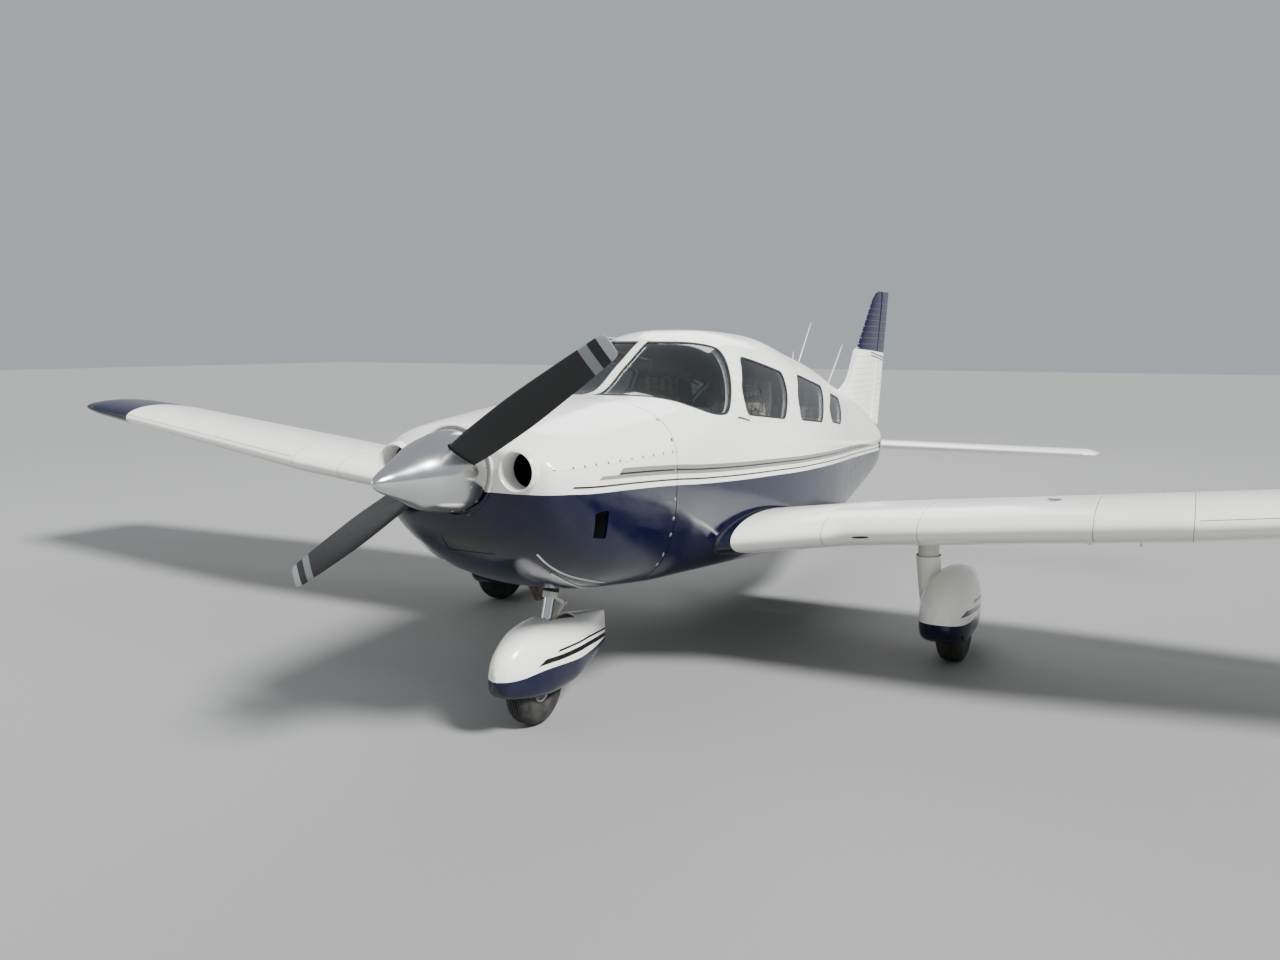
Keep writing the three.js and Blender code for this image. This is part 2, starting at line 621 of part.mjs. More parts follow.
const rudderNose = rod(rudderLine.from.point, rudderLine.to.point, 34, 13).intersect(belowFinTop);
piece('fin', cut(join(finBlank, dorsal), rudderBay, coneClearance), WHITE_PAINT);
piece('rudder', join(finBlank.intersect(rudderBand), rudderNose), WHITE_PAINT);

// Stabilator: two halves on one cross tube through the tail cone, with a full-span tab
const stabilatorRing = (x, share) => {
  const chord = STABILATOR.chord * mix(0.86, 1, share);
  const front = STABILATOR.front + STABILATOR.chord - chord;
  return aerofoil(STABILATOR.ratio * mix(0.3, 1, share)).map(
    ([f, h]) => at(x, front + f * chord, STABILATOR.z + h * chord));
};
const STABILATOR_SPAN = [
  [-STABILATOR.half, 0], [-1945, 0.6], [-1890, 1], [1890, 1], [1945, 0.6], [STABILATOR.half, 0],
];
const stabilatorBlank = loft(STABILATOR_SPAN.map(([x, share]) => stabilatorRing(x, share)));
const CONE_GAP = 14;
const coneMarks = [6480, 6756, 6900, CONE_BACK];
const coneSide = coneMarks.map((station) => [between(HULL, station, 4) + CONE_GAP, station]);
const conePlan = [...coneSide, [coneSide.at(-1)[0], 7500]];
const coneShape = new THREE.Shape([
  ...conePlan.map(([x, station]) => new THREE.Vector2(x, station - LENGTH / 2)),
  ...conePlan.reverse().map(([x, station]) => new THREE.Vector2(-x, station - LENGTH / 2)),
]);
const coneSlot = solid(
  new THREE.ExtrudeGeometry(coneShape, { depth: 400, bevelEnabled: false })
    .translate(0, 0, STABILATOR.z - 200));
const tabLine = (x) => ({ point: at(x, TAB.hinge, STABILATOR.z), radius: TAB.radius });
const tab = surfaceAndBay(stabilatorBlank, { from: tabLine(-TAB.half), to: tabLine(TAB.half) });
const crossTube = rod(onPivot(-260), onPivot(260), 32);
const pivot = onPivot(0);
const sloped = (shape) => shape.translate(0, -pivot.y, -pivot.z)
  .rotate(-STABILATOR.slope, 0, 0)
  .translate(0, pivot.y, pivot.z);
piece('stabilator', join(sloped(cut(stabilatorBlank, coneSlot, tab.bay)), crossTube), WHITE_PAINT);
piece('stabilator_tab', sloped(tab.surface), WHITE_PAINT);

// Propeller and spinner
const BLADE = [
  // radius, chord, thickness, pitch in degrees
  [60, 96, 52, 38],
  [150, 126, 34, 35],
  [250, 141, 24, 31],
  [450, 146, 17, 24],
  [700, 129, 12, 17],
  [860, 112, 9, 14],
  [932, 102, 7, 13],
  [951, 90, 6, 13],
  [958, 76, 5, 13],
];
const bladeRing = ([radius, chord, thickness, pitch], side, swell = 0) => {
  const turn = radians(pitch);
  return aerofoil(0.15, 0, 8).map(([f, h]) => {
    const along = (f - 0.48) * (chord + 2 * swell);
    const across = (h / 0.15) * (thickness + 2 * swell) * side;
    return new THREE.Vector3(
      radius * side,
      along * Math.sin(turn) + across * Math.cos(turn),
      (across * Math.sin(turn) - along * Math.cos(turn)) * side,
    );
  });
};
const toPropeller = new THREE.Matrix4().makeRotationY(radians(-PROP_ANGLE))
  .setPosition(hubLine(PROP_STATION));
const placed = (rings) => loft(rings.map((ring) => ring.map((p) => p.clone().applyMatrix4(toPropeller))));
const blade = (side) => placed(BLADE.map((row) => bladeRing(row, side)));
const bladeHole = (side) => placed(BLADE.slice(0, 3).map((row) => bladeRing(row, side, 6)));
piece('propeller', join(
  blade(1),
  blade(-1),
  rod(hubLine(PROP_STATION - 45), hubLine(PROP_STATION + 45), 78, 78, 32),
  rod(hubLine(PROP_STATION + 40), hubLine(630), 48),
), BLACK_PAINT);

const SPINNER = [
  // distance aft of the tip, radius
  [0, 0], [8, 13], [45, 37], [110, 64], [190, 97], [280, 136], [370, 158], [435, 169],
  [SPINNER_BACK, 173],
];
const SPINNER_WALL = 6;
const spinnerInside = [3, 5, 6].map((i) => [SPINNER[i][0] + 14, SPINNER[i][1] - SPINNER_WALL]);
const lathePoint = ([s, r]) => new THREE.Vector2(r, s - LENGTH / 2);
const spinnerProfile = [
  ...SPINNER.map(lathePoint),
  lathePoint([SPINNER_BACK, 60]),
  lathePoint([SPINNER_BACK - 10, 60]),
  lathePoint([SPINNER_BACK - 10, 173 - SPINNER_WALL]),
  ...spinnerInside.reverse().map(lathePoint),
  lathePoint([60, 0]),
];
const spinnerBody = solid(
  new THREE.LatheGeometry(spinnerProfile, 32).translate(0, 0, SHAFT_HEIGHT));
piece('spinner', cut(spinnerBody, bladeHole(1), bladeHole(-1)), POLISHED);

// Wheels and tyres
function tyreProfile({ radius, width, rim }) {
  const half = width / 2;
  return [
    [rim + 1, -half * 0.74], [mix(rim, radius, 0.45), -half], [radius - 26, -half * 0.9],
    [radius - 7, -half * 0.68], [radius, -half * 0.36], [radius, half * 0.36],
    [radius - 7, half * 0.68], [radius - 26, half * 0.9], [mix(rim, radius, 0.45), half],
    [rim + 1, half * 0.74], [rim + 1, -half * 0.74],
  ];
}
function rimProfile({ width, rim, axle }) {
  const half = width / 2;
  const bore = axle + 1.5;
  return [
    [bore, -half * 0.6], [38, -half * 0.6], [rim - 22, -14], [rim + FIT, -half * 0.7],
    [rim + FIT, half * 0.7], [rim - 22, 14], [38, half * 0.6], [bore, half * 0.6],
    [bore, -half * 0.6],
  ];
}
const wheelCentre = ({ x, station, radius }) => at(x, station, radius);
pair('main_tyre', turned(tyreProfile(MAIN_WHEEL), wheelCentre(MAIN_WHEEL)), RUBBER);
pair('main_wheel', turned(rimProfile(MAIN_WHEEL), wheelCentre(MAIN_WHEEL), 24), STEEL);
piece('nose_tyre', turned(tyreProfile(NOSE_WHEEL), wheelCentre(NOSE_WHEEL)), RUBBER);
piece('nose_wheel', turned(rimProfile(NOSE_WHEEL), wheelCentre(NOSE_WHEEL), 24), STEEL);

// An upright oval rod on the main leg's station, its sizes given at two or more heights as x,
// half width and half length.
const LEG_STATION = 3010;
const ovalRod = (levels) => loft(levels.map(([z, x, halfWidth, halfLength]) => (
  Array.from({ length: 24 }, (_, i) => {
    const angle = (2 * Math.PI * i) / 24;
    return at(x + halfWidth * Math.cos(angle), LEG_STATION + halfLength * Math.sin(angle), z);
  }))));

// Main legs: oval housing under the wing, oleo piston, torque links and stub axle
const legPoint = (station, z) => at(STRUT_X, station, z);
const LEG_HOUSING = [[840, STRUT_X, 58, 80], [560, STRUT_X, 58, 80]];
const mainLeg = join(
  ovalRod(LEG_HOUSING),
  rod(legPoint(LEG_STATION, 590), legPoint(LEG_STATION, 250), 27),
  rod(legPoint(LEG_STATION, 262), legPoint(LEG_STATION + 4, 190), 32),
  rod(at(STRUT_X - 20, MAIN_WHEEL.station, MAIN_WHEEL.radius),
    at(1640, MAIN_WHEEL.station, MAIN_WHEEL.radius), MAIN_WHEEL.axle, MAIN_WHEEL.axle, 24),
  rod(legPoint(LEG_STATION + 60, 600), legPoint(3138, 500), 13, 11, 12),
  rod(legPoint(3138, 506), legPoint(LEG_STATION + 12, 390), 11, 13, 12),
);
pair('main_leg', cut(mainLeg, wingBlank(FIT)), STEEL);

// Wheel fairings: thin teardrop shells, open below round the tyre
const MAIN_FAIRING = [
  // station, top, bottom, half width
  [2672, 330, 275, 14],
  [2708, 410, 205, 70],
  [2790, 473, 152, 118],
  [2920, 517, 122, 140],
  [3070, 522, 117, 142],
  [3220, 510, 124, 136],
  [3420, 470, 152, 102],
  [3600, 428, 188, 56],
  [3716, 398, 214, 14],
];
const NOSE_FAIRING = [
  [748, 318, 268, 10],
  [775, 375, 212, 54],
  [850, 440, 180, 96],
  [960, 490, 156, 122],
  [1090, 504, 142, 132],
  [1250, 486, 144, 126],
  [1440, 452, 168, 90],
  [1610, 422, 200, 46],
  [1722, 398, 226, 11],
];
// The share of the height at which a fairing is widest, and how square it is above and below
const MAIN_SHAPE = { x: 1520, widest: 0.45, upper: 2.1, lower: 4.6 };
const NOSE_SHAPE = { x: 0, widest: 0.38, upper: 2.1, lower: 3.4 };
function fairingBody(table, { x, widest, upper, lower }, inset) {
  const rows = inset ? table.slice(1, -1) : table;
  return loft(rows.map(([station, top, bottom, half]) => superellipse({
    x, station, top: top - inset, wide: mix(bottom, top, widest), bottom: bottom + inset,
    half: half - inset, upper, lower, count: inset ? 16 : 22,
  })));
}
const FAIRING_WALL = 8;
const SLEEVE = [[592, STRUT_X, 69, 95], [420, STRUT_X + 10, 60, 90], [300, STRUT_X + 16, 50, 76]];
const SLEEVE_BORE = [
  [640, STRUT_X, 65, 87], [545, STRUT_X, 65, 87], [530, STRUT_X, 36, 42], [100, STRUT_X, 36, 42],
];
const WELL = { half: 85, reach: 222, top: 200 };
const mainFairing = cut(
  join(
    cut(fairingBody(MAIN_FAIRING, MAIN_SHAPE, 0), fairingBody(MAIN_FAIRING, MAIN_SHAPE, FAIRING_WALL)),
    cut(ovalRod(SLEEVE), block([MAIN_WHEEL.x - MAIN_WHEEL.width / 2 - 8, 2800, 0], [1600, 3300, 456])),
  ),
  ovalRod(SLEEVE_BORE),
  block([MAIN_WHEEL.x - WELL.half, MAIN_WHEEL.station - WELL.reach, 0],
    [MAIN_WHEEL.x + WELL.half, MAIN_WHEEL.station + WELL.reach, WELL.top]),
  block([STRUT_X - 18, LEG_STATION, 360], [STRUT_X + 18, 3170, 640]),
);
pair('main_fairing', mainFairing, WHITE_PAINT);

// Nose leg: housing on the engine frame, then what turns with the steering
const noseLeg = (z, x = 0) => at(x, 1195 + NOSE_RAKE * (z - 540), z);
const mountFoot = (x, z) => at(x, CABIN_FRONT + 20, z);
piece('nose_leg_frame', cut(join(
  rod(noseLeg(960), noseLeg(602), 40),
  rod(noseLeg(900), mountFoot(-230, 1010), 14, 14, 10),
  rod(noseLeg(900), mountFoot(230, 1010), 14, 14, 10),
  rod(noseLeg(680), mountFoot(-160, 690), 14, 14, 10),
  rod(noseLeg(680), mountFoot(160, 690), 14, 14, 10),
), slice(CABIN_FRONT + FIT, CABIN_FRONT + 100)), STEEL);
const FORK_X = 77;
const noseHub = (x) => at(x, NOSE_WHEEL.station, NOSE_WHEEL.radius);
piece('nose_fork', join(
  rod(noseLeg(600), noseLeg(572), 42),
  rod(noseLeg(580), noseLeg(395), 27),
  rod(noseLeg(395, -FORK_X - 9), noseLeg(395, FORK_X + 9), 17, 17, 16),
  rod(noseLeg(395, FORK_X), noseHub(FORK_X), 9, 9, 12),
  rod(noseLeg(395, -FORK_X), noseHub(-FORK_X), 9, 9, 12),
  rod(noseHub(-82), noseHub(82), NOSE_WHEEL.axle, NOSE_WHEEL.axle, 24),
  rod(noseLeg(586), at(0, 1330, 520), 11, 10, 12),
  rod(at(0, 1330, 524), noseLeg(425), 10, 11, 12),
), STEEL);
piece('nose_fairing', cut(
  cut(fairingBody(NOSE_FAIRING, NOSE_SHAPE, 0), fairingBody(NOSE_FAIRING, NOSE_SHAPE, FAIRING_WALL)),
  block([-78, NOSE_WHEEL.station - 205, 0], [78, NOSE_WHEEL.station + 205, 200]),
  block([-52, 1105, 400], [52, 1365, 700]),
), WHITE_PAINT);

// Exhaust pipe out of the cowling's lower opening
piece('exhaust_pipe', join(
  rod(at(-110, 1180, 1050), at(-110, 1180, 720), 30),
  rod(at(-110, 1180, 740), at(-118, 1300, 545), 30),
), BLACK_PAINT);

// Aerials on the cabin roof and the tail cone
const hullTop = (station) => between(HULL, station, 1);
const AERIALS = {
  // foot station, side, lean aft, height, radius at the foot
  aerial_blade: { station: 4560, x: 0, lean: 60, height: 130, radius: 14 },
  aerial_whip_left: { station: 5325, x: 30, lean: 423, height: 330, radius: 7 },
  aerial_whip_right: { station: 4785, x: -60, lean: 398, height: 405, radius: 7 },
};
for (const [name, { station, x, lean, height, radius }] of Object.entries(AERIALS)) {
  const foot = at(x, station, hullTop(station) - 30);
  const tip = at(x, station + lean, hullTop(station) + height);
  piece(name, cut(rod(foot, tip, radius, radius * 0.5, 10), cabinClearance, coneClearance), WHITE_PAINT);
}

// Thermometer probe, pushed forward out of the roof over the right windscreen
piece('thermometer_probe', cut(
  rod(at(-200, 2330, 1795), at(-200, 2136, 1806), 11, 8, 12), cabinClearance), BLACK_PAINT);

// Pitot mast under the left wing and the boarding step behind the right wing
const PITOT_X = 3320;
const pitot = join(
  rod(at(PITOT_X, 2660, 1040), at(PITOT_X, 2670, 835), 16, 12, 12),
  rod(at(PITOT_X, 2580, 840), at(PITOT_X, 2700, 840), 13, 13, 12),
);
piece('pitot_mast', cut(pitot, wingBlank(FIT)), WHITE_PAINT);
piece('boarding_step', cut(join(
  rod(at(-400, 4080, 600), at(-560, 4100, 350), 13, 13, 12),
  block([-630, 4050, 328], [-500, 4150, 348]),
), cabinClearance), STEEL);

export default aircraft;
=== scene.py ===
import math

import bmesh
import bpy
import numpy as np
from mathutils import Matrix, Vector


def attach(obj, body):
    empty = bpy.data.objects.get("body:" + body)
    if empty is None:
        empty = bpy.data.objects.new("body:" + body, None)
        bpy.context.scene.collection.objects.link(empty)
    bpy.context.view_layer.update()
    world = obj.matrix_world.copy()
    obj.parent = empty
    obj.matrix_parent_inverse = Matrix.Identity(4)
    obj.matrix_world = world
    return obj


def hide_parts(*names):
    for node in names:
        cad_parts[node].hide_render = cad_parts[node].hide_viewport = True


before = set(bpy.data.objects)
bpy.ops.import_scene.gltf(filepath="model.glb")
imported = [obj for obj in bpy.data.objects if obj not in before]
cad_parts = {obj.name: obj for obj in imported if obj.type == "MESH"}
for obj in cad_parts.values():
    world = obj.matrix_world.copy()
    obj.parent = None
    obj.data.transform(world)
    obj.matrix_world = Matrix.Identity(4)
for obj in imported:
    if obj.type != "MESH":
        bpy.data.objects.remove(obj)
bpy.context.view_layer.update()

scene = bpy.context.scene

# Fuselage skins: aluminium sheet about a millimetre thick, rolled and stretched over frames and
# riveted along their edges. Each panel is drawn as thick as the whole wall, lining included.
LENGTH = 7320
HULL = np.array([
    # station, top, wide, bottom, half, upper, lower
    [497, 1385, 1250, 1115, 330, 2.2, 2.1],
    [512, 1408, 1248, 1040, 395, 2.3, 2.2],
    [550, 1420, 1242, 960, 448, 2.3, 2.3],
    [640, 1452, 1228, 860, 487, 2.5, 2.4],
    [820, 1474, 1212, 745, 520, 2.5, 2.6],
    [1060, 1495, 1200, 660, 545, 2.6, 2.8],
    [1430, 1520, 1200, 606, 565, 2.8, 3.2],
    [1650, 1535, 1190, 585, 570, 3.0, 3.6],
    [1930, 1670, 1170, 559, 570, 3.0, 3.6],
    [2220, 1805, 1150, 531, 570, 3.0, 3.6],
    [2560, 1856, 1130, 499, 570, 3.1, 3.6],
    [3000, 1842, 1110, 457, 565, 3.0, 3.6],
    [3600, 1752, 1080, 402, 535, 2.8, 3.8],
    [4200, 1658, 1040, 393, 480, 2.6, 4.2],
    [5000, 1489, 990, 463, 370, 2.4, 4.4],
    [5800, 1345, 940, 545, 260, 2.3, 4.4],
    [6500, 1120, 880, 623, 165, 2.2, 4.0],
    [7020, 975, 820, 684, 50, 2.0, 2.5],
], float)


def at(x, station, z):
    """Points given in millimetres across, aft of the spinner's tip and up, as metres."""
    parts = np.broadcast_arrays(np.asarray(x, float), np.asarray(station, float) - LENGTH / 2,
                                np.asarray(z, float))
    return np.stack(parts, -1) / 1000


def between(table, places):
    """Smooth values that never overshoot, between the rows of a table, by its first column."""
    x, rows = table[:, 0], table[:, 1:]
    width = np.diff(x)[:, None]
    slope = np.diff(rows, axis=0) / width
    both = slope[:-1] * slope[1:]
    total = np.where(both > 0, slope[:-1] + slope[1:], 1)
    tangent = np.vstack([slope[:1], np.where(both > 0, 2 * both / total, 0), slope[-1:]])
    places = np.atleast_1d(np.asarray(places, float))
    i = np.clip(np.searchsorted(x, places, side="right") - 1, 0, len(x) - 2)
    w = width[i]
    t = ((places - x[i]) / w[:, 0])[:, None]
    return ((2 * t**3 - 3 * t**2 + 1) * rows[i] + (t**3 - 2 * t**2 + t) * w * tangent[i]
            + (3 * t**2 - 2 * t**3) * rows[i + 1] + (t**3 - t**2) * w * tangent[i + 1])


def circle(count):
    """The cosines and sines of evenly spaced angles, all round."""
    angle = np.arange(count) * 2 * math.pi / count
    return np.cos(angle), np.sin(angle)


def rounded_box(x, station, top, wide, bottom, half, upper, lower, count):
    """A closed ring: full to half the width at the height wide, squarer as upper and lower rise."""
    c, s = circle(count)
    power = 2 / np.where(s >= 0, upper, lower)
    rise = np.where(s >= 0, top - wide, bottom - wide) * np.abs(s) ** power
    return at(x + half * np.sign(c) * np.abs(c) ** power, station, wide + rise)


def make(name, points, faces, material=None, edge=38):
    """A mesh object in the aircraft's frame, smooth but for edges sharper than the given angle."""
    mesh = bpy.data.meshes.new(name)
    mesh.from_pydata(np.reshape(points, (-1, 3)).tolist(), [], [list(face) for face in faces])
    if material:
        mesh.materials.append(material)
    thing = bpy.data.objects.new(name, mesh)
    scene.collection.objects.link(thing)
    soften(thing, edge)
    return thing


def soften(thing, edge=38):
    thing.data.shade_smooth()
    thing.data.set_sharp_from_angle(angle=math.radians(edge))


def grid(rows, count, closed=False):
    """Faces between rings of points; closed also joins the last ring to the first."""
    return [(i * count + j, i * count + (j + 1) % count,
             (i + 1) % rows * count + (j + 1) % count, (i + 1) % rows * count + j)
            for i in range(rows if closed else rows - 1) for j in range(count)]


def loft(name, rings, material=None, edge=38):
    """A closed skin through rings that have the same number of points."""
    rings = np.asarray(rings, float)
    count = rings.shape[1]
    along = rings[-1].mean(0) - rings[0].mean(0)
    turn = np.cross(rings[0], np.roll(rings[0], -1, 0)).sum(0)
    if turn @ along < 0:
        rings = rings[:, ::-1]
    last = (len(rings) - 1) * count
    faces = grid(len(rings), count) + [list(range(count))[::-1], list(range(last, last + count))]
    return make(name, rings, faces, material, edge)


def settle(thing):
    """Applies the object's modifiers."""
    graph = bpy.context.evaluated_depsgraph_get()
    mesh = bpy.data.meshes.new_from_object(thing.evaluated_get(graph))
    thing.modifiers.clear()
    thing.data = mesh


def discard(*things):
    for thing in things:
        bpy.data.objects.remove(thing)


def carve(thing, *tools, how="DIFFERENCE", keep=False):
    """Cuts tools from a mesh, or joins or crosses it with them; they go, unless they are kept."""
    for tool in tools:
        step = thing.modifiers.new("carve", "BOOLEAN")
        step.operation, step.solver, step.object = how, "MANIFOLD", tool
    settle(thing)
    soften(thing)
    if not keep:
        discard(*tools)
    return thing


def copy_of(thing, name):
    made = bpy.data.objects.new(name, thing.data.copy())
    scene.collection.objects.link(made)
    return made


def hull(name, start, end, inset=0, step=28, count=120):
    """The fuselage's form between two stations, drawn in by an inset on every side."""
    stations = np.linspace(start, end, max(3, round((end - start) / step)))
    rings = []
    for station, row in zip(stations, between(HULL, stations)):
        top, wide, bottom, half, upper, lower = row
        rings.append(rounded_box(0, station, top - inset, wide, bottom + inset, half - inset,
                                 upper, lower, count))
    return loft(name, rings)


def hull_gap(points, inset=0):
    """How far points in metres lie outside the hull, and the hull's own normals there."""
    def level(p):
        top, wide, bottom, half, upper, lower = between(HULL, p[:, 1] * 1000 + LENGTH / 2).T
        above = p[:, 2] * 1000 >= wide
        power = np.where(above, upper, lower)
        rise = np.where(above, top - inset - wide, wide - bottom - inset)
        return ((np.abs(p[:, 0] * 1000) / (half - inset)) ** power
                + (np.abs(p[:, 2] * 1000 - wide) / rise) ** power)
    step = np.eye(3) * 2e-4
    slope = np.stack([(level(points + s) - level(points - s)) / 4e-4 for s in step], -1)
    size = np.linalg.norm(slope, axis=1, keepdims=True)
    return (level(points) - 1) / size[:, 0], slope / size


def coat(thing, material, edge=None):
    """Gives the whole piece one material."""
    thing.data.materials.clear()
    thing.data.materials.append(material)
    if edge:
        soften(thing, edge)


def read(items, name, width=1, kind=float):
    """One property of all the vertices, corners or faces of a mesh, as an array."""
    values = np.empty(len(items) * width, kind)
    items.foreach_get(name, values)
    return values.reshape(-1, width) if width > 1 else values


def dress(thing, materials, skins):
    """Materials and true normals for a panel: skins are pairs of inset and material number."""
    mesh = thing.data
    mesh.materials.clear()
    for material in materials:
        mesh.materials.append(material)
    vertices, normals = read(mesh.vertices, "co", 3), read(mesh.polygons, "normal", 3)
    corners = read(mesh.loops, "vertex_index", kind=int)
    sizes = read(mesh.polygons, "loop_total", kind=int)
    starts = np.cumsum(sizes) - sizes
    owner = np.repeat(np.arange(len(sizes)), sizes)
    number = np.zeros(len(sizes), int)
    corner_normals = read(mesh.corner_normals, "vector", 3)
    for inset, which in skins:
        gap, true = hull_gap(vertices, inset)
        near = np.minimum.reduceat((np.abs(gap) < 0.003)[corners].astype(int), starts) > 0
        mean = np.add.reduceat(true[corners], starts) / sizes[:, None]
        facing = np.einsum("ij,ij->i", normals, mean)
        skin = near & (np.abs(facing) > 0.9)
        number[skin] = which
        loops = skin[owner]
        corner_normals[loops] = true[corners[loops]] * np.sign(facing[owner[loops]])[:, None]
    mesh.polygons.foreach_set("material_index", number)
    mesh.normals_split_custom_set(corner_normals.tolist())
    return thing


def clad(thing, wall, lining):
    """Paint on a shell's outer skin, and its lining at the depth of its wall."""
    dress(thing, [fuselage_enamel, lining], [(wall, 1), (0, 0)])


def fit(thing, body, *nodes, slot=None):
    """The piece rides on a body and stands for the CAD nodes named."""
    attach(thing, body)
    if nodes:
        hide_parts(*nodes)
    return thing


def linear(code):
    """An sRGB hex colour as linear red, green, blue and alpha."""
    parts = [int(code[i:i + 2], 16) / 255 for i in (1, 3, 5)]
    return tuple(p / 12.92 if p <= 0.04045 else ((p + 0.055) / 1.055) ** 2.4 for p in parts) + (1,)


def plug(tree, node, sockets):
    """Links each socket named to an output, or gives it a plain value."""
    for key, value in sockets.items():
        if isinstance(value, bpy.types.NodeSocket):
            tree.links.new(value, node.inputs[key])
        else:
            node.inputs[key].default_value = value


def add(tree, kind, sockets=None, **settings):
    """A shader node with its settings; each socket gets a value or the output it is linked to."""
    made = tree.nodes.new("ShaderNode" + kind)
    for key, value in settings.items():
        setattr(made, key, value)
    plug(tree, made, sockets or {})
    return made


def surface(name, sockets, pattern=None):
    """A principled material; pattern adds nodes to its tree and returns the sockets they drive."""
    made = bpy.data.materials.new(name)
    made.use_nodes = True
    tree = made.node_tree
    plug(tree, tree.nodes["Principled BSDF"], {**sockets, **(pattern(tree) if pattern else {})})
    return made


WHITE, NAVY, GREY, BLACK = (linear(c) for c in ("#F8F7F1", "#050929", "#85867F", "#101113"))


def own_place(tree):
    """The point on the piece at rest, in metres, as three numbers."""
    coordinates = add(tree, "TexCoord").outputs["Object"]
    split = add(tree, "SeparateXYZ", {0: coordinates})
    return coordinates, split.outputs[0], split.outputs[1], split.outputs[2]


def maths(tree, operation, a, b=0.0, c=0.0):
    return add(tree, "Math", {0: a, 1: b, 2: c}, operation=operation).outputs[0]


def noise(tree, place, scale, detail, roughness=0.5):
    return add(tree, "TexNoise", {"Vector": place, "Scale": scale, "Detail": detail,
                                  "Roughness": roughness}).outputs[0]


def remap(tree, value, low, high, to_low=0.0, to_high=1.0, **settings):
    return add(tree, "MapRange", {"Value": value, "From Min": low, "From Max": high,
                                  "To Min": to_low, "To Max": to_high}, **settings).outputs[0]


def blend(tree, share, first, second):
    """One colour where the share is 0, the other where it is 1."""
    return add(tree, "Mix", {0: share, 6: first, 7: second}, data_type="RGBA").outputs[2]


def raised(tree, height, strength, distance, normal=None):
    """The normal of a surface with relief."""
    below = {"Normal": normal} if normal else {}
    return add(tree, "Bump", {"Height": height, "Strength": strength, "Distance": distance,
                              **below}).outputs[0]


def charted(tree, value, row):
    """A smooth curve through pairs of numbers from 0 to 1, read at a value."""
    made = add(tree, "FloatCurve", {"Value": value})
    points = made.mapping.curves[0].points
    for index, place in enumerate(row):
        if index < 2:
            points[index].location = place
        else:
            points.new(*place)
    made.mapping.update()
    return made.outputs[0]


def steps(tree, value, low, high, stops):
    """A colour for each stretch of a value: stops are pairs of where it starts and its colour."""
    share = remap(tree, value, low, high)
    ramp = add(tree, "ValToRGB", {0: share})
    ramp.color_ramp.interpolation = "CONSTANT"
    elements = ramp.color_ramp.elements
    while len(elements) < len(stops):
        elements.new(0.5)
    for element, (start, color) in zip(elements, stops):
        element.position = max(0, (start - low) / (high - low))
        element.color = color
    return ramp.outputs[0]


def weathered(tree, color, coordinates):
    """Sprayed enamel after some years: faint dust in the colour, uneven gloss, sheet that waves."""
    # sheet metal waves between its rivet rows, about 200 mm apart
    wave = noise(tree, coordinates, 5.0, 1.0)
    # sprayed paint has a grain of 2 mm, drawn at 9 mm so that it shows
    grain = noise(tree, coordinates, 110.0, 2.0)
    dust = noise(tree, coordinates, 14.0, 6.0, 0.65)
    dusty = remap(tree, dust, 0.45, 0.8, 0.0, 0.02)
    mixed = blend(tree, dusty, color, linear("#A9A69B"))
    rough = remap(tree, dust, 0.3, 0.75, 0.10, 0.22)
    height = maths(tree, "MULTIPLY_ADD", grain, 0.02, wave)
    bump = raised(tree, height, 0.10, 0.012)
    return {"Base Color": mixed, "Roughness": rough, "Normal": bump}


# Where the navy paint ends above, as pairs of station and height in metres
NAVY_TOP = [(0.45, 1.185), (0.57, 1.183), (0.74, 1.170), (1.05, 1.154), (1.43, 1.127), (1.68, 1.103),
            (2.19, 1.063), (2.75, 1.027), (3.26, 0.994), (3.68, 0.971), (4.82, 0.910), (5.95, 0.843),
            (6.63, 0.803), (7.2, 0.770)]
# Stripes above it: how far above the navy each begins, its colour, and the station where it starts
STRIPES = [(0.0, WHITE, 0.0), (0.022, BLACK, 0.598), (0.031, WHITE, 0.598), (0.052, GREY, 0.722),
           (0.068, BLACK, 0.838), (0.0765, GREY, 0.838), (0.0955, WHITE, 0.838)]


def fuselage_scheme(tree):
    """Navy below, white above, and between them grey and black lines that begin on the cowling."""
    coordinates, x, y, z = own_place(tree)
    station = maths(tree, "ADD", y, LENGTH / 2000)
    share = maths(tree, "DIVIDE", station, LENGTH / 1000)
    edge = charted(tree, share, [(s * 1000 / LENGTH, height / 2) for s, height in NAVY_TOP])
    above = maths(tree, "MULTIPLY_ADD", edge, -2.0, z)
    bands = steps(tree, above, -0.05, 0.15, [(-0.05, NAVY)] + [(a, c) for a, c, _ in STRIPES])
    starts = steps(tree, above, -0.05, 0.15,
                   [(-0.05, (0, 0, 0, 1))] + [(a, (s, s, s, 1)) for a, _, s in STRIPES])
    begin = maths(tree, "MULTIPLY_ADD", above, 1.3, add(tree, "RGBToBW", {0: starts}).outputs[0])
    painted = maths(tree, "GREATER_THAN", station, begin)
    low = maths(tree, "LESS_THAN", above, 0.0)
    shown = maths(tree, "MAXIMUM", painted, low)
    color = blend(tree, shown, WHITE, bands)
    return weathered(tree, color, coordinates)


# Two-colour enamel sprayed and polished: a clear gloss coat over the colour gives sharp highlights
GLOSS = {"IOR": 1.5}
fuselage_enamel = surface("fuselage_enamel", GLOSS, fuselage_scheme)
# Vinyl-covered board lining the cabin: pale, matt, finely grained
cabin_lining = surface("cabin_lining_vinyl", {"Base Color": linear("#8C8578"), "Roughness": 0.75})
# Bare zinc-chromate primer inside the cowling and tail, painted near black as painted shade, so that
# the inside seen through the inlets looks deep and dark
shade_black_primer = surface("shade_black_primer", {"Base Color": linear("#1B1D1B"), "Roughness": 0.7})


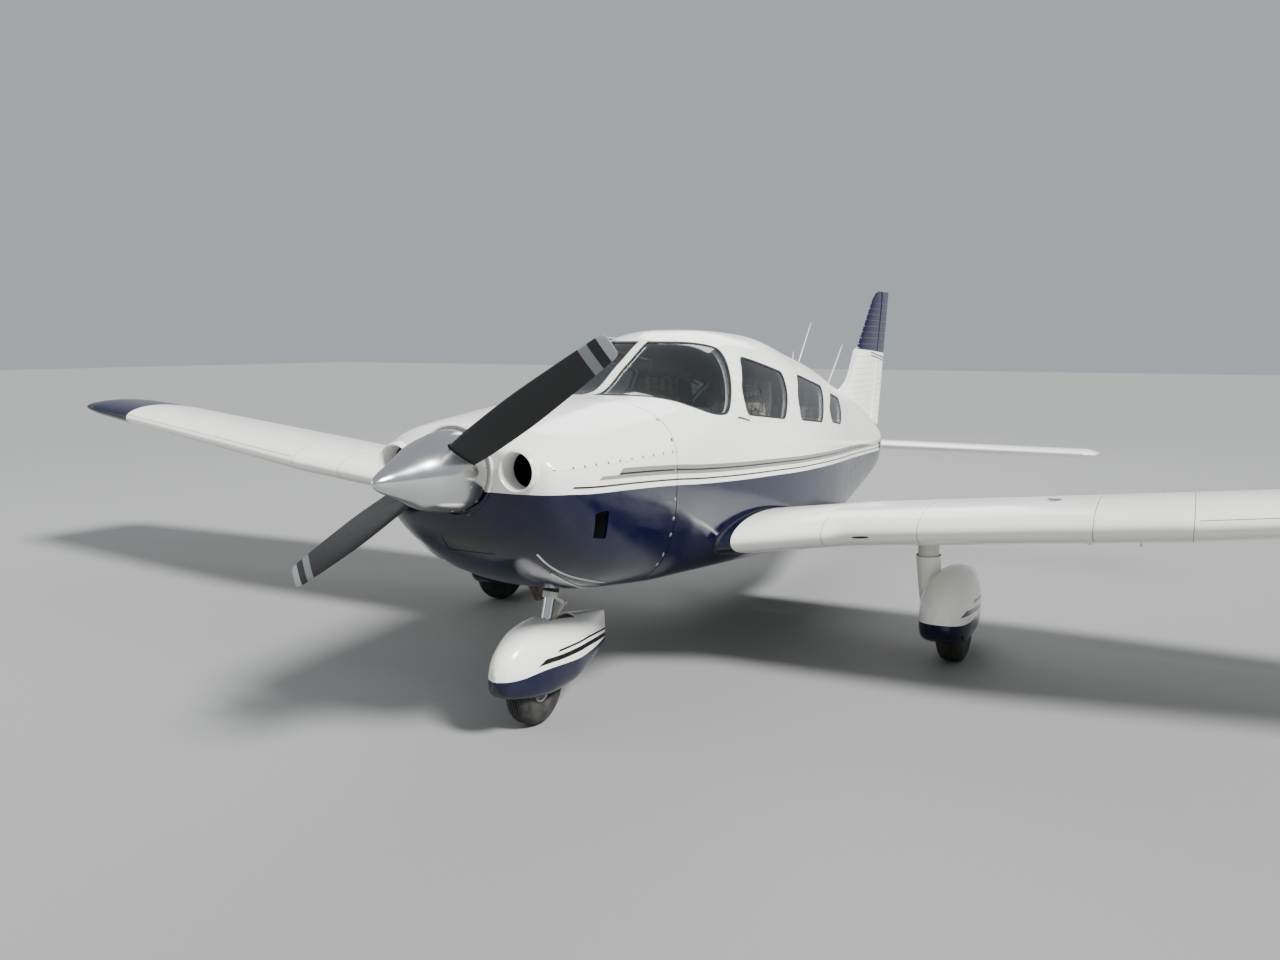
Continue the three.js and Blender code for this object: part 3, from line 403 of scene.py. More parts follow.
def rod(name, start, end, radius, end_radius=None, material=None, sides=32, edge=38):
    """A round bar or cone between two points, in metres, its radii in millimetres."""
    start, end = Vector(start), Vector(end)
    turn = (end - start).to_track_quat("Z", "Y").to_matrix()
    rings = []
    for middle, r in ((start, radius), (end, radius if end_radius is None else end_radius)):
        ring = [middle + turn @ Vector((math.cos(a), math.sin(a), 0)) * r / 1000
                for a in np.arange(sides) * 2 * math.pi / sides]
        rings.append([list(p) for p in ring])
    return loft(name, rings, material, edge)


def block(name, low, high, material=None):
    """A box between two corners given as x, station and height in millimetres."""
    (x0, s0, z0), (x1, s1, z1) = low, high
    ring = [(x0, s0), (x1, s0), (x1, s1), (x0, s1)]
    return loft(name, [[at(x, s, z) for x, s in ring] for z in (z0, z1)], material)


def rounded(outline, radius, cuts=7):
    """An outline with its corners rounded."""
    outline = np.asarray(outline, float)
    points = []
    for before, p, after in zip(np.roll(outline, 1, 0), outline, np.roll(outline, -1, 0)):
        start, end = ((q - p) * min(radius, np.linalg.norm(q - p) / 2) / np.linalg.norm(q - p) + p
                      for q in (before, after))
        for t in np.linspace(0, 1, cuts):
            points.append((1 - t) ** 2 * start + 2 * t * (1 - t) * p + t**2 * end)
    kept = [p for i, p in enumerate(points) if np.linalg.norm(p - points[i - 1]) > 0.5]
    return np.array(kept)


def grown(outline, distance):
    """The same outline moved outwards, or inwards by a negative distance."""
    outline = np.asarray(outline, float)
    after = np.roll(outline, -1, 0)
    area = (outline[:, 0] * after[:, 1] - outline[:, 1] * after[:, 0]).sum()
    run = after - outline
    normal = np.stack([run[:, 1], -run[:, 0]], -1) / np.linalg.norm(run, axis=1)[:, None]
    reach = (normal * outline).sum(1) + math.copysign(distance, area * distance)
    last, last_reach = np.roll(normal, 1, 0), np.roll(reach, 1)
    size = last[:, 0] * normal[:, 1] - last[:, 1] * normal[:, 0]
    return np.stack([(last_reach * normal[:, 1] - reach * last[:, 1]) / size,
                     (reach * last[:, 0] - last_reach * normal[:, 0]) / size], -1)


def side_plate(name, outline, x0, x1):
    """An outline of station and height pushed along X, as a cutting tool."""
    outline = np.asarray(outline)
    return loft(name, [at(x, outline[:, 0], outline[:, 1]) for x in (x0, x1)])


# Cowling: two halves of thin sheet and moulded nose, screwed together along a level seam, round
# two cooling inlets, the propeller's shaft, a chin inlet and the opening that lets the air out.
COWL_FRONT, COWL_BACK, COWL_WALL = 497, 1427, 12
INLET = {"x": 309, "z": 1277, "bore": 73, "lip": 86}
SHAFT_HEIGHT = 1265
cowl = carve(hull("cowl", COWL_FRONT, COWL_BACK),
             hull("cowl_inside", COWL_FRONT + 2 * COWL_WALL, COWL_BACK + 3, COWL_WALL))
SIDES = (("left", 1), ("right", -1))
FAR = 3000  # reach of a cutting block past everything it cuts


def split_level(whole, name, seam, wall, lining):
    """Parts a shell along a level seam 0.8 mm wide into a white upper and a navy lower half."""
    for word, low, high, slot in (("upper", seam + 0.4, FAR, "white_skin"),
                                  ("lower", -100, seam - 0.4, "navy_skin")):
        side = block("side", (-FAR, 0, low), (FAR, 2 * FAR, high))
        half = carve(copy_of(whole, f"{name}_{word}_skin"), side, how="INTERSECT")
        clad(half, wall, lining)
        fit(half, "airframe", f"{name}_{word}", slot=slot)
    discard(whole)


inlet_holes, lips = [], []
for word, side in SIDES[::-1]:
    x, z = side * INLET["x"], INLET["z"]
    inlet_holes.append(rod("bore", at(x, 460, z), at(x, 600, z), INLET["bore"] + 4, sides=64))
    # the lip is a rounded ring that swells back into the cowling
    profile = [(INLET["bore"], 575), (INLET["bore"], 500), (INLET["bore"] + 3, 488),
               (INLET["bore"] + 9, 481), (INLET["lip"] - 7, 481), (INLET["lip"], 488),
               (INLET["lip"] + 5, 505), (INLET["lip"] + 8, 540), (INLET["lip"] + 8, 575)]
    c, s = circle(72)
    lips.append(make("cowl_inlet_lip_" + word,
                     [at(x + r * c, station, z + r * s) for r, station in profile],
                     grid(len(profile), 72, True), fuselage_enamel, 50))
hub_hole = rod("hub", at(0, 440, SHAFT_HEIGHT), at(0, 600, SHAFT_HEIGHT), 95, sides=64)
chin_hole = block("chin", (-120, 440, 905), (120, 700, 985))
outlet_hole = block("outlet", (-190, 1120, 400), (190, COWL_BACK + 20, 760))
VENT = rounded([(775, 1082), (862, 1086), (880, 958), (800, 972)], 12)
vents = [side_plate("vent", VENT, side * 420, side * 600) for side in (-1, 1)]
carve(cowl, *inlet_holes, hub_hole, chin_hole, outlet_hole, *vents)
# the cowling's lining is the near-black primer, painted shade inside the inlets
split_level(cowl, "cowl", INLET["z"], COWL_WALL, shade_black_primer)
for lip in lips:
    fit(lip, "airframe", slot="white_skin")

# Cabin: side and roof panels round the windows, the cabin door and the baggage door. The door
# frames taper inwards so that the doors' edges swing free.
CABIN_FRONT, CABIN_BACK, CABIN_WALL, PANEL_SEAM = 1433, 4700, 35, 1170
SIDE_WINDOWS = {
    "front": [(2446, 1715), (3007, 1614), (2999, 1473), (2915, 1336), (2304, 1398), (2284, 1532)],
    "middle": [(3328, 1593), (3978, 1493), (3847, 1366), (3751, 1260), (3207, 1311), (3183, 1464)],
    "rear": [(4207, 1436), (4560, 1383), (4496, 1292), (4378, 1200), (4039, 1239), (3999, 1337)],
}
WINDOW_CORNER, WINDSCREEN_CORNER = 48, 60
POST = 24  # half the width of the post between the two halves of the windscreen
WINDSCREEN = [(1480, 1529), (1646, 1524), (1710, 1502), (1760, 1468), (1870, 1430), (1990, 1416),
              (2066, 1420), (2117, 1462), (2208, 1587), (2322, 1740), (2312, 1768), (2220, 1792),
              (1900, 1792), (1480, 1700)]
# outline, corner radius, hinge: its station for a door that swings forwards, its height for one
# that lifts
DOORS = {
    "cabin_door": ([(2170, 1000), (2190, 1400), (2372, 1755), (3140, 1655), (3055, 1330),
                    (3030, 1000)], 70, (2160, None)),
    "baggage_door": ([(3780, 740), (3780, 1150), (4300, 1150), (4300, 740)], 50, (None, 1156)),
}
SWING = 7  # gap round a door or a control surface
TAPER = 0.1  # how much a door narrows over half a metre inwards


def door_block(name, growth):
    """A door's shape through the right-hand wall, narrowing inwards from the skin."""
    outline, corner, hinge = DOORS[name]
    ring = rounded(grown(outline, growth), corner)
    slices = []
    for x in (-800, -150):
        scale = 1 - TAPER * (x + 520) / 500
        s, z = (values if still is None else still + (values - still) * scale
                for values, still in zip(ring.T, hinge))
        slices.append(at(x, s, z))
    return loft(name, slices)


def window_hole(name, side):
    return side_plate("window_hole", rounded(SIDE_WINDOWS[name], WINDOW_CORNER), side * 150,
                      side * 700)


def cabin_shell(name, outside, inside):
    """The cabin's form between two depths under its skin."""
    return carve(hull(name, CABIN_FRONT, CABIN_BACK, outside, count=144),
                 hull("inside", CABIN_FRONT - 10, CABIN_BACK + 10, inside, count=144))


wall = cabin_shell("wall", 0, CABIN_WALL)
screen_outline = rounded(WINDSCREEN, WINDSCREEN_CORNER)
holes = [window_hole(name, side) for name in SIDE_WINDOWS for side in (-1, 1)]
holes += [side_plate("screen", screen_outline, side * POST, side * 700) for side in (-1, 1)]
cabin = carve(copy_of(wall, "cabin"), *holes, *(door_block(name, SWING) for name in DOORS))
split_level(cabin, "cabin", PANEL_SEAM, CABIN_WALL, cabin_lining)
for name, slot in (("cabin_door", "white_skin"), ("baggage_door", "navy_skin")):
    door = carve(copy_of(wall, name + "_skin"), door_block(name, 0), how="INTERSECT")
    if name == "cabin_door":
        carve(door, window_hole("front", -1))
    clad(door, CABIN_WALL, cabin_lining)
    fit(door, name, name, slot=slot)
discard(wall)

# Glazing: stretched acrylic sheet 6 mm thick, tinted grey, drawn over a mould and set in black
# rubber. Daylight passes it, so it casts no shadow here.
# Clear acrylic, slightly grey: mirror-smooth, it shows a dark cabin and a faint sky
acrylic = surface("tinted_acrylic", {"Base Color": linear("#8F9698"), "Roughness": 0.02, "IOR": 1.49,
                                     "Transmission Weight": 1.0})
# Extruded rubber seal, black and dull
seal_rubber = surface("seal_rubber", {"Base Color": linear("#202122"), "Roughness": 0.7})
PANE = {"outside": 4, "inside": 10, "seal": 10}
sheet = cabin_shell("sheet", PANE["outside"], PANE["inside"])
bedding = cabin_shell("bedding", 1.5, 14)


def pane(name, outline, corner, side, inner, body):
    """One window's sheet, and the rubber between it and the skin."""
    tools = [side_plate("tool", rounded(grown(outline, -reach), corner), side * (inner + reach),
                        side * 690) for reach in (0.5, PANE["seal"])]
    glass = carve(copy_of(sheet, name + "_sheet"), tools[1], how="INTERSECT", keep=True)
    dress(glass, [acrylic], [(PANE["inside"], 0), (PANE["outside"], 0)])
    glass.visible_shadow = False
    rim = carve(copy_of(bedding, name + "_seal"), tools[0], how="INTERSECT")
    carve(rim, tools[1])
    dress(rim, [seal_rubber], [])
    fit(glass, body, name, slot="glazing")
    fit(rim, body, slot="cabin_trim")


for word, side in SIDES:
    pane("windscreen_" + word, WINDSCREEN, WINDSCREEN_CORNER, side, POST, "airframe")
    for name, outline in SIDE_WINDOWS.items():
        body = "cabin_door" if (name, word) == ("front", "right") else "airframe"
        pane(f"window_{name}_{word}", outline, WINDOW_CORNER, side, 160, body)
discard(sheet, bedding)

# Tail cone: riveted aluminium sheet closed by ring frames, open inside to just ahead of the
# stabilator's cross tube.
CONE_BACK, CONE_HOLLOW_BACK, CONE_WALL, FIT = 7020, 6400, 14, 0.5
STABILATOR = {"front": 6556, "chord": 762, "half": 1967, "z": 840, "pivot": 6756, "ratio": 0.11,
              "slope": 3.9}
pivot = [at(x, STABILATOR["pivot"], STABILATOR["z"]) for x in (-400, 400)]
cone = hull("tail_cone_skin", CABIN_BACK + FIT, CONE_BACK)
carve(cone, hull("cone_inside", CABIN_BACK - 10, CONE_HOLLOW_BACK, CONE_WALL),
      rod("hole", *pivot, 38))
# the tail cone is lined with the same near-black primer, painted shade
clad(cone, CONE_WALL, shade_black_primer)
fit(cone, "airframe", "tail_cone", slot="tail_skin")

# Wings: aluminium skins over a spar and ribs, straight inboard with a swept glove at the root,
# tapered outboard, with moulded tips. Flaps and ailerons have round noses on their hinge lines.
HALF_SPAN, WING_BACK, WING_ROOT, WING_RIB = 5410, 3820, 588, 4936
LE_ROOT_HEIGHT, LE_SLOPE, WING_THICKNESS, WING_CAMBER = 764, 0.102, 224, 0.022
WING_PLAN = np.array([[440, 1926, WING_BACK], [WING_ROOT, 1992, WING_BACK], [1100, 2220, WING_BACK],
                      [2700, 2220, WING_BACK], [HALF_SPAN, 2571, 3641]], float)
TWIST = {"inner": 5.6, "outer": 4.6, "from": 2700}


def aerofoil(ratio, camber=0.0, cuts=34):
    """Pairs of distance along and height above the chord, over the chord."""
    stop = (1 - np.cos(np.pi * np.arange(cuts + 1) / cuts)) / 2
    half = 5 * ratio * (0.2969 * np.sqrt(stop) - 0.126 * stop - 0.3516 * stop**2
                        + 0.2843 * stop**3 - 0.1015 * stop**4)
    mean = 4 * camber * (stop - stop**2)
    upper = np.stack([stop, mean + half], -1)[::-1]
    lower = np.stack([stop, mean - half], -1)[1:]
    return np.concatenate([upper, lower])


def wing_section(x, front=None, back=None, thickness=1, drop=0, cuts=34):
    nose = np.interp(x, WING_PLAN[:, 0], WING_PLAN[:, 1]) if front is None else front
    tail = np.interp(x, WING_PLAN[:, 0], WING_PLAN[:, 2]) if back is None else back
    chord = tail - nose
    basic = (np.interp(max(x, 1100), WING_PLAN[:, 0], WING_PLAN[:, 2])
             - np.interp(max(x, 1100), WING_PLAN[:, 0], WING_PLAN[:, 1]))
    ratio = WING_THICKNESS / 1600 * basic / chord * thickness
    outward = max(0, (x - TWIST["from"]) / (HALF_SPAN - TWIST["from"]))
    tilt = math.radians(TWIST["inner"] + (TWIST["outer"] - TWIST["inner"]) * outward)
    height = LE_ROOT_HEIGHT + LE_SLOPE * (x - WING_ROOT) - drop
    a, b = (aerofoil(ratio, WING_CAMBER, cuts) * chord).T
    return at(x, nose + a * math.cos(tilt) + b * math.sin(tilt),
              height - a * math.sin(tilt) + b * math.cos(tilt))


def thickness_at(ring, station):
    """The middle of a section's thickness and half of it, in millimetres, at a station."""
    y, z = ring[:, 1] * 1000 + LENGTH / 2, ring[:, 2] * 1000
    y2, z2 = np.roll(y, -1), np.roll(z, -1)
    crossing = ((y - station) * (y2 - station) <= 0) & (y != y2)
    heights = (z + (z2 - z) * (station - y) / np.where(y2 == y, 1, y2 - y))[crossing]
    return (heights.max() + heights.min()) / 2, (heights.max() - heights.min()) / 2


def hinge_block(start, end, forward, aft, half=300):
    """A box along a hinge line, reaching forward and aft of it, in millimetres."""
    start, end = Vector(start), Vector(end)
    x = (end - start).normalized()
    y = (Vector((0, 1, 0)) - x * x.y).normalized()
    z = x.cross(y)
    rings = [[base + y * r / 1000 + z * h / 1000 for r, h in
              ((-forward, -half), (aft, -half), (aft, half), (-forward, half))]
             for base in (start, end)]
    return loft("hinge_block", [[list(p) for p in ring] for ring in rings])


def surface_and_bay(name, blank, start, end, radii, reach=700):
    """A control surface cut from a blank, with a round nose on its hinge line, and its bay."""
    a, b = Vector(start), Vector(end)
    along = (b - a).normalized() * SWING / 1000
    made = copy_of(blank, name)
    box = hinge_block(a + along, b - along, 0, reach)
    carve(made, box, how="INTERSECT")
    nose = rod("nose", a + along, b - along, *radii, sides=40)
    carve(made, nose, how="UNION")
    return made, hinge_block(a, b, max(radii) + SWING, reach)


def flip(thing, name):
    """The mirror image of an object, on the other side of the aircraft."""
    made = copy_of(thing, name)
    made.data.transform(Matrix.Scale(-1, 4, (1, 0, 0)))
    made.data.flip_normals()
    soften(made)
    return made


def fit_pair(thing, name, slot, body="airframe", node=None):
    """Fits a piece on the left and its mirror image on the right; {} is the side in a name."""
    thing.name = name.format("left")
    for word, mine in (("right", flip(thing, name.format("right"))), ("left", thing)):
        fit(mine, body.format(word), *([node.format(word)] if node else []), slot=slot)


def wing_scheme(tree):
    """White wings with navy tips, the paint's edge slanting outwards towards the back."""
    coordinates, x, y, z = own_place(tree)
    out = maths(tree, "ABSOLUTE", x)
    tip = maths(tree, "GREATER_THAN", out, maths(tree, "MULTIPLY_ADD", y, 0.17, 4.94))
    navy = maths(tree, "MAXIMUM", tip, maths(tree, "LESS_THAN", out, 0.596))
    color = blend(tree, navy, WHITE, NAVY)
    # sheets lap every 0.4 to 0.8 m, and each lap shows as a dark line 3 mm wide; the last is the
    # root's rubber
    for seam, half, shade in ((1.02, 0.0015, "#8A8B88"), (1.5, 0.0015, "#77787A"),
                              (2.3, 0.0018, "#77787A"), (2.71, 0.0018, "#77787A"),
                              (3.58, 0.0015, "#8A8B88"), (4.45, 0.0015, "#8A8B88"),
                              (0.596, 0.004, "#101113")):
        near = maths(tree, "COMPARE", out, seam, half)
        color = blend(tree, near, color, linear(shade))
    made = weathered(tree, color, coordinates)
    # the walkway on the right wing's root is gritted black
    # measured down from a plane through the wing's middle, so that only the top is gritted
    level = maths(tree, "MULTIPLY_ADD", x, 0.102, maths(tree, "MULTIPLY_ADD", y, 0.098, z))
    walk = maths(tree, "GREATER_THAN", level, 0.54)
    for side, value, limit in (("GREATER_THAN", x, -1.02), ("LESS_THAN", x, -0.4),
                               ("GREATER_THAN", y, -1.15), ("LESS_THAN", y, -0.16)):
        walk = maths(tree, "MULTIPLY", walk, maths(tree, side, value, limit))
    made["Base Color"] = blend(tree, walk, made["Base Color"], linear("#2B2C2D"))
    made["Roughness"] = add(tree, "Mix", {0: walk, 2: made["Roughness"], 3: 0.9}).outputs[0]
    return made


# Polished enamel on sheet: cooler and glossier where the sky falls on it
wing_enamel = surface("wing_enamel", GLOSS, wing_scheme)
WING_SURFACES = {"flap": ((640, 3560), (2664, 3560)), "aileron": ((2720, 3560), (4900, 3462))}
spans = np.unique([*WING_PLAN[:-1, 0], *np.arange(500, WING_RIB, 80), WING_RIB - FIT])
wing = loft("wing", [wing_section(x) for x in spans], edge=30)
bays = []
for name, ends in WING_SURFACES.items():
    points, radii = [], []
    for x, station in ends:
        middle, half = thickness_at(wing_section(x), station)
        points.append(at(x, station, middle))
        radii.append(half - 1.5)
    part, bay = surface_and_bay(name, wing, *points, radii)
    bays.append(bay)
    coat(part, wing_enamel)
    fit_pair(part, name + "_{}_skin", "white_skin", name + "_{}", name + "_{}")
carve(wing, *bays)
clearance = hull("clearance", CABIN_FRONT, CABIN_BACK, -FIT)
for word, thing in (("left", copy_of(wing, "wing_left_skin")),
                    ("right", flip(wing, "wing_right_skin"))):
    coat(carve(thing, clearance, keep=True), wing_enamel)
    fit(thing, "airframe", "wing_" + word, slot="white_skin")
discard(wing)

WING_TIP = np.array([[WING_RIB, 2510, 3672, 1], [5180, 2543, 3655, 0.96], [5320, 2572, 3636, 0.74],
                     [5390, 2612, 3606, 0.42], [HALF_SPAN, 2670, 3560, 0.14]], float)
share = np.concatenate([np.linspace(WING_RIB, 5300, 12),
                        HALF_SPAN - 110 * np.linspace(1, 0, 14)[1:] ** 2])
tip = loft("tip", [wing_section(x, *row[:2], thickness=row[2])
                   for x, row in zip(share, between(WING_TIP, share))], wing_enamel)
fit_pair(tip, "wing_tip_{}_skin", "fairing", node="wing_tip_{}")

# Fin and rudder: thin skins with pressed beads every 54 mm instead of ribs, a sheet fillet ahead,
# and a moulded cap on top.
FIN = {"base": 980, "top": 2259, "knee_station": 6060, "knee_height": 1490, "sweep": 1.022}
RUDDER = {"low": (6735, 1085), "high": (7062, 2300), "radii": (34, 13)}


def beads(tree, value, pitch, width):
    """Ridges across a value: 1 along the middle of each, 0 from a share of the pitch outwards."""
    phase = maths(tree, "FRACT", maths(tree, "DIVIDE", value, pitch))
    off = maths(tree, "ABSOLUTE", maths(tree, "SUBTRACT", phase, 0.5))
    return remap(tree, off, 0.0, width, 1.0, 0.0, interpolation_type="SMOOTHSTEP")


def tail_scheme(tree):
    """Navy above a sloping edge, a thin black line under it, painted shade down the rudder's hinge
    gap, and beads pressed along the chord.
    """
    coordinates, x, y, z = own_place(tree)
    edge = maths(tree, "MULTIPLY_ADD", y, 0.0476, z)
    color = blend(tree, maths(tree, "GREATER_THAN", edge, 1.8504), WHITE, NAVY)
    line = maths(tree, "MULTIPLY_ADD", y, 0.104, z)
    for level in (2.0040, 1.978):
        near = maths(tree, "COMPARE", line, level, 0.006)
        shown = maths(tree, "MULTIPLY", near, maths(tree, "GREATER_THAN", y, 2.98))
        color = blend(tree, shown, color, BLACK)
    # painted shade: the gap ahead of the rudder's rounded nose is painted black along the hinge line,
    # for the shade inside it
    hinge = maths(tree, "MULTIPLY_ADD", z, -0.2691, y)
    color = blend(tree, maths(tree, "COMPARE", hinge, 2.7503, 0.0075), color, BLACK)
    made = weathered(tree, color, coordinates)
    # beads are 54 mm apart and 12 mm wide, and fade out near the cap
    bead = beads(tree, maths(tree, "ADD", z, 0.022), 0.0535, 0.13)
    inside = remap(tree, z, 2.12, 2.16, 1.0, 0.0)
    made["Normal"] = raised(tree, maths(tree, "MULTIPLY", bead, inside), 0.8, 0.004, made["Normal"])
    return made


# Enamel over beaded sheet: each bead catches a thin bright line
tail_enamel = surface("beaded_tail_enamel", GLOSS, tail_scheme)


def fin_front(z):
    return FIN["knee_station"] + (z - FIN["knee_height"]) * FIN["sweep"]


def fin_back(z):
    return 7046 + (LENGTH - 7046) * (z - FIN["base"]) / (FIN["top"] - FIN["base"])


# height, thickness over chord, how far the leading edge is set back
FIN_LEVELS = np.array([[FIN["base"], 0.065, 0], [2190, 0.08, 0], [2240, 0.07, 22],
                       [FIN["top"], 0.03, 90]])
heights = np.concatenate([np.linspace(FIN["base"], 2190, 30), np.linspace(2200, FIN["top"], 9)])
rings = []
for z in heights:
    ratio, back = (np.interp(z, FIN_LEVELS[:, 0], FIN_LEVELS[:, k]) for k in (1, 2))
    front = fin_front(z) + back
    chord = fin_back(z) - front
    a, b = (aerofoil(ratio, cuts=30) * chord).T
    rings.append(at(b, front + a, z))
blank = loft("fin_blank", rings, edge=30)
fillet_outline = rounded([
    (5600, 1330), (5764, 1374), (5848, 1392), (5934, 1419), (6019, 1459), (6075, 1510), (6130, 1574),
    (6184, 1647), (6240, 1720), (6360, 1760), (6360, 1000), (5600, 1000)], 60, 6)
fillet = side_plate("fillet", fillet_outline, -16, 16)
low, high = (at(0, *RUDDER[k]) for k in ("low", "high"))
along = Vector(high - low).normalized()
bay = hinge_block(Vector(low) - along * 0.4, Vector(high) + along * 0.2, 41, 900, 200)
band = hinge_block(low, Vector(high) + along * 0.2, 0, 700, 200)
nose = rod("nose", low, high, *RUDDER["radii"], sides=40)
cap = block("cap", (-3000, 5000, 0), (3000, 8000, FIN["top"] - 4))
around = hull("around", CABIN_BACK + FIT, CONE_BACK, -FIT)
rudder = carve(copy_of(blank, "rudder_skin"), band, how="INTERSECT")
carve(rudder, carve(nose, cap, how="INTERSECT"), how="UNION")
fin = carve(blank, fillet, how="UNION")
fin.name = "fin_skin"
carve(fin, bay, around, clearance)
for thing, name, body in ((fin, "fin", "airframe"), (rudder, "rudder", "rudder")):
    coat(thing, tail_enamel, 30)
    fit(thing, body, name, slot="tail_skin")

# Stabilator: an all-moving tailplane of beaded sheet on one steel cross tube, with a full-span
# anti-servo tab on a hinge along its trailing edge.
TAB = {"hinge": 7206, "half": 1560, "radius": 11}
CONE_GAP = 14


def plane_scheme(tree):
    """White, with beads 100 mm apart pressed into the rear of the skin."""
    coordinates, x, y, z = own_place(tree)
    white = add(tree, "RGB").outputs[0]
    white.default_value = WHITE
    made = weathered(tree, white, coordinates)
    aft = remap(tree, y, 3.12, 3.16)
    height = maths(tree, "MULTIPLY", beads(tree, x, 0.1, 0.1), aft)
    made["Normal"] = raised(tree, height, 0.7, 0.003, made["Normal"])
    return made


# Enamel over beaded sheet: broad soft highlights broken by the beads
plane_enamel = surface("beaded_plane_enamel", GLOSS, plane_scheme)


def plane_ring(x, share, cuts=24):
    chord = STABILATOR["chord"] * (0.86 + 0.14 * share)
    front = STABILATOR["front"] + STABILATOR["chord"] - chord
    a, b = (aerofoil(STABILATOR["ratio"] * (0.3 + 0.7 * share), cuts=cuts) * chord).T
    return at(x, front + a, STABILATOR["z"] + b)


HALF = STABILATOR["half"]
spans = np.concatenate([HALF - 77 * np.linspace(0, 1, 9) ** 2, np.linspace(1850, 0, 20)])
spans = np.concatenate([-spans, spans[::-1][1:]])
# the ends thin and narrow over their last 77 mm
blank = loft("plane", [plane_ring(x, np.interp(abs(x), (1890, 1945, HALF), (1, 0.6, 0)))
                       for x in spans], edge=30)
cone_plan = [(between(HULL, s)[0][3] + CONE_GAP, s) for s in np.linspace(6480, CONE_BACK, 12)]
cone_plan.append((cone_plan[-1][0], 7500))
outline = cone_plan + [(-x, s) for x, s in cone_plan[::-1]]
slot_tool = loft("slot", [[at(x, s, STABILATOR["z"] + h) for x, s in outline] for h in (-200, 200)])
ends = [at(x, TAB["hinge"], STABILATOR["z"]) for x in (-TAB["half"], TAB["half"])]
tab, bay = surface_and_bay("stabilator_tab_skin", blank, *ends, (TAB["radius"], TAB["radius"]))
cross_tube = rod("tube", *(at(x, STABILATOR["pivot"], STABILATOR["z"]) for x in (-260, 260)), 32,
                 sides=40)
plane = carve(blank, slot_tool, bay)
plane.name = "stabilator_skin"
carve(plane, cross_tube, how="UNION")
# the aircraft stands with its nose up, so the chord slopes down aft
middle = Matrix.Translation(Vector(at(0, STABILATOR["pivot"], STABILATOR["z"])))
tilt = middle @ Matrix.Rotation(math.radians(-STABILATOR["slope"]), 4, "X") @ middle.inverted()
for thing, name in ((plane, "stabilator"), (tab, "stabilator_tab")):
    thing.data.transform(tilt)
    coat(thing, plane_enamel, 30)
    fit(thing, name, name, slot="white_skin")

# Propeller: two forged aluminium blades in one piece with the hub, painted grey-black against
# glare, with bands at the tips that show when it turns.
PROP_STATION, PROP_ANGLE, SPINNER_BACK = 375, 32.8, 485
BLADE = np.array([
    # radius, chord, thickness, pitch in degrees
    [60, 96, 52, 38], [150, 126, 34, 35], [250, 141, 24, 31], [450, 146, 17, 24], [700, 129, 12, 17],
    [860, 112, 9, 14], [932, 102, 7, 13], [951, 90, 6, 13], [958, 76, 5, 13]], float)
TURN = Matrix.Translation(Vector(at(0, PROP_STATION, SHAFT_HEIGHT))) @ Matrix.Rotation(
    math.radians(-PROP_ANGLE), 4, "Y")


def blade_rings(side, radii, swell=0):
    rings = []
    for radius, (chord, thickness, pitch) in zip(radii, between(BLADE, radii)):
        turn = math.radians(pitch)
        f, h = aerofoil(0.15, 0, 20).T
        along = (f - 0.48) * (chord + 2 * swell)
        across = h / 0.15 * (thickness + 2 * swell) * side
        ring = np.stack([np.full_like(f, radius * side),
                         along * math.sin(turn) + across * math.cos(turn),
                         (across * math.sin(turn) - along * math.cos(turn)) * side], -1) / 1000
        rings.append([list(TURN @ Vector(p)) for p in ring])
    return rings


def blade_scheme(tree):
    """Grey-black paint with chips in its gloss, and two pale bands near each tip."""
    coordinates = own_place(tree)[0]
    offset = add(tree, "VectorMath", {0: coordinates, 1: TURN.translation},
                 operation="SUBTRACT").outputs[0]
    direction = TURN.to_3x3() @ Vector((1, 0, 0))
    reach = maths(tree, "ABSOLUTE", add(tree, "VectorMath", {0: offset, 1: direction},
                                        operation="DOT_PRODUCT").outputs["Value"])
    dark, pale, tip = linear("#16181A"), linear("#7C8183"), linear("#9A9FA1")
    color = steps(tree, reach, 0.0, 1.0, [(0, dark), (0.832, pale), (0.872, dark), (0.917, tip)])
    chips = noise(tree, coordinates, 60.0, 5.0)
    rough = remap(tree, chips, 0.0, 1.0, 0.42, 0.6)
    bump = raised(tree, chips, 0.08, 0.002)
    return {"Base Color": color, "Roughness": rough, "Normal": bump}


# Matt anti-glare enamel on forged aluminium: dark with a broad soft sheen
blade_enamel = surface("blade_enamel", {"IOR": 1.5}, blade_scheme)
radii = np.concatenate([np.linspace(60, 900, 34), 958 - 58 * np.linspace(1, 0, 12)[1:] ** 2])
propeller = loft("propeller_blades", blade_rings(1, radii), edge=50)
lower_blade = loft("lower_blade", blade_rings(-1, radii), edge=50)
hub = rod("hub", at(0, PROP_STATION - 45, SHAFT_HEIGHT), at(0, PROP_STATION + 45, SHAFT_HEIGHT), 78,
          sides=64)
shaft = rod("shaft", at(0, PROP_STATION + 40, SHAFT_HEIGHT), at(0, 630, SHAFT_HEIGHT), 48, sides=48)
carve(propeller, lower_blade, hub, shaft, how="UNION")
coat(propeller, blade_enamel, 50)
fit(propeller, "propeller", "propeller", slot="blade")

# Spinner: spun aluminium, polished bright, slotted for the blades and screwed to its back plate.
# station and radius
SPINNER = np.array([[0, 0], [8, 13], [45, 37], [110, 64], [190, 97], [280, 136], [370, 158],
                    [435, 169], [SPINNER_BACK, 173]], float)


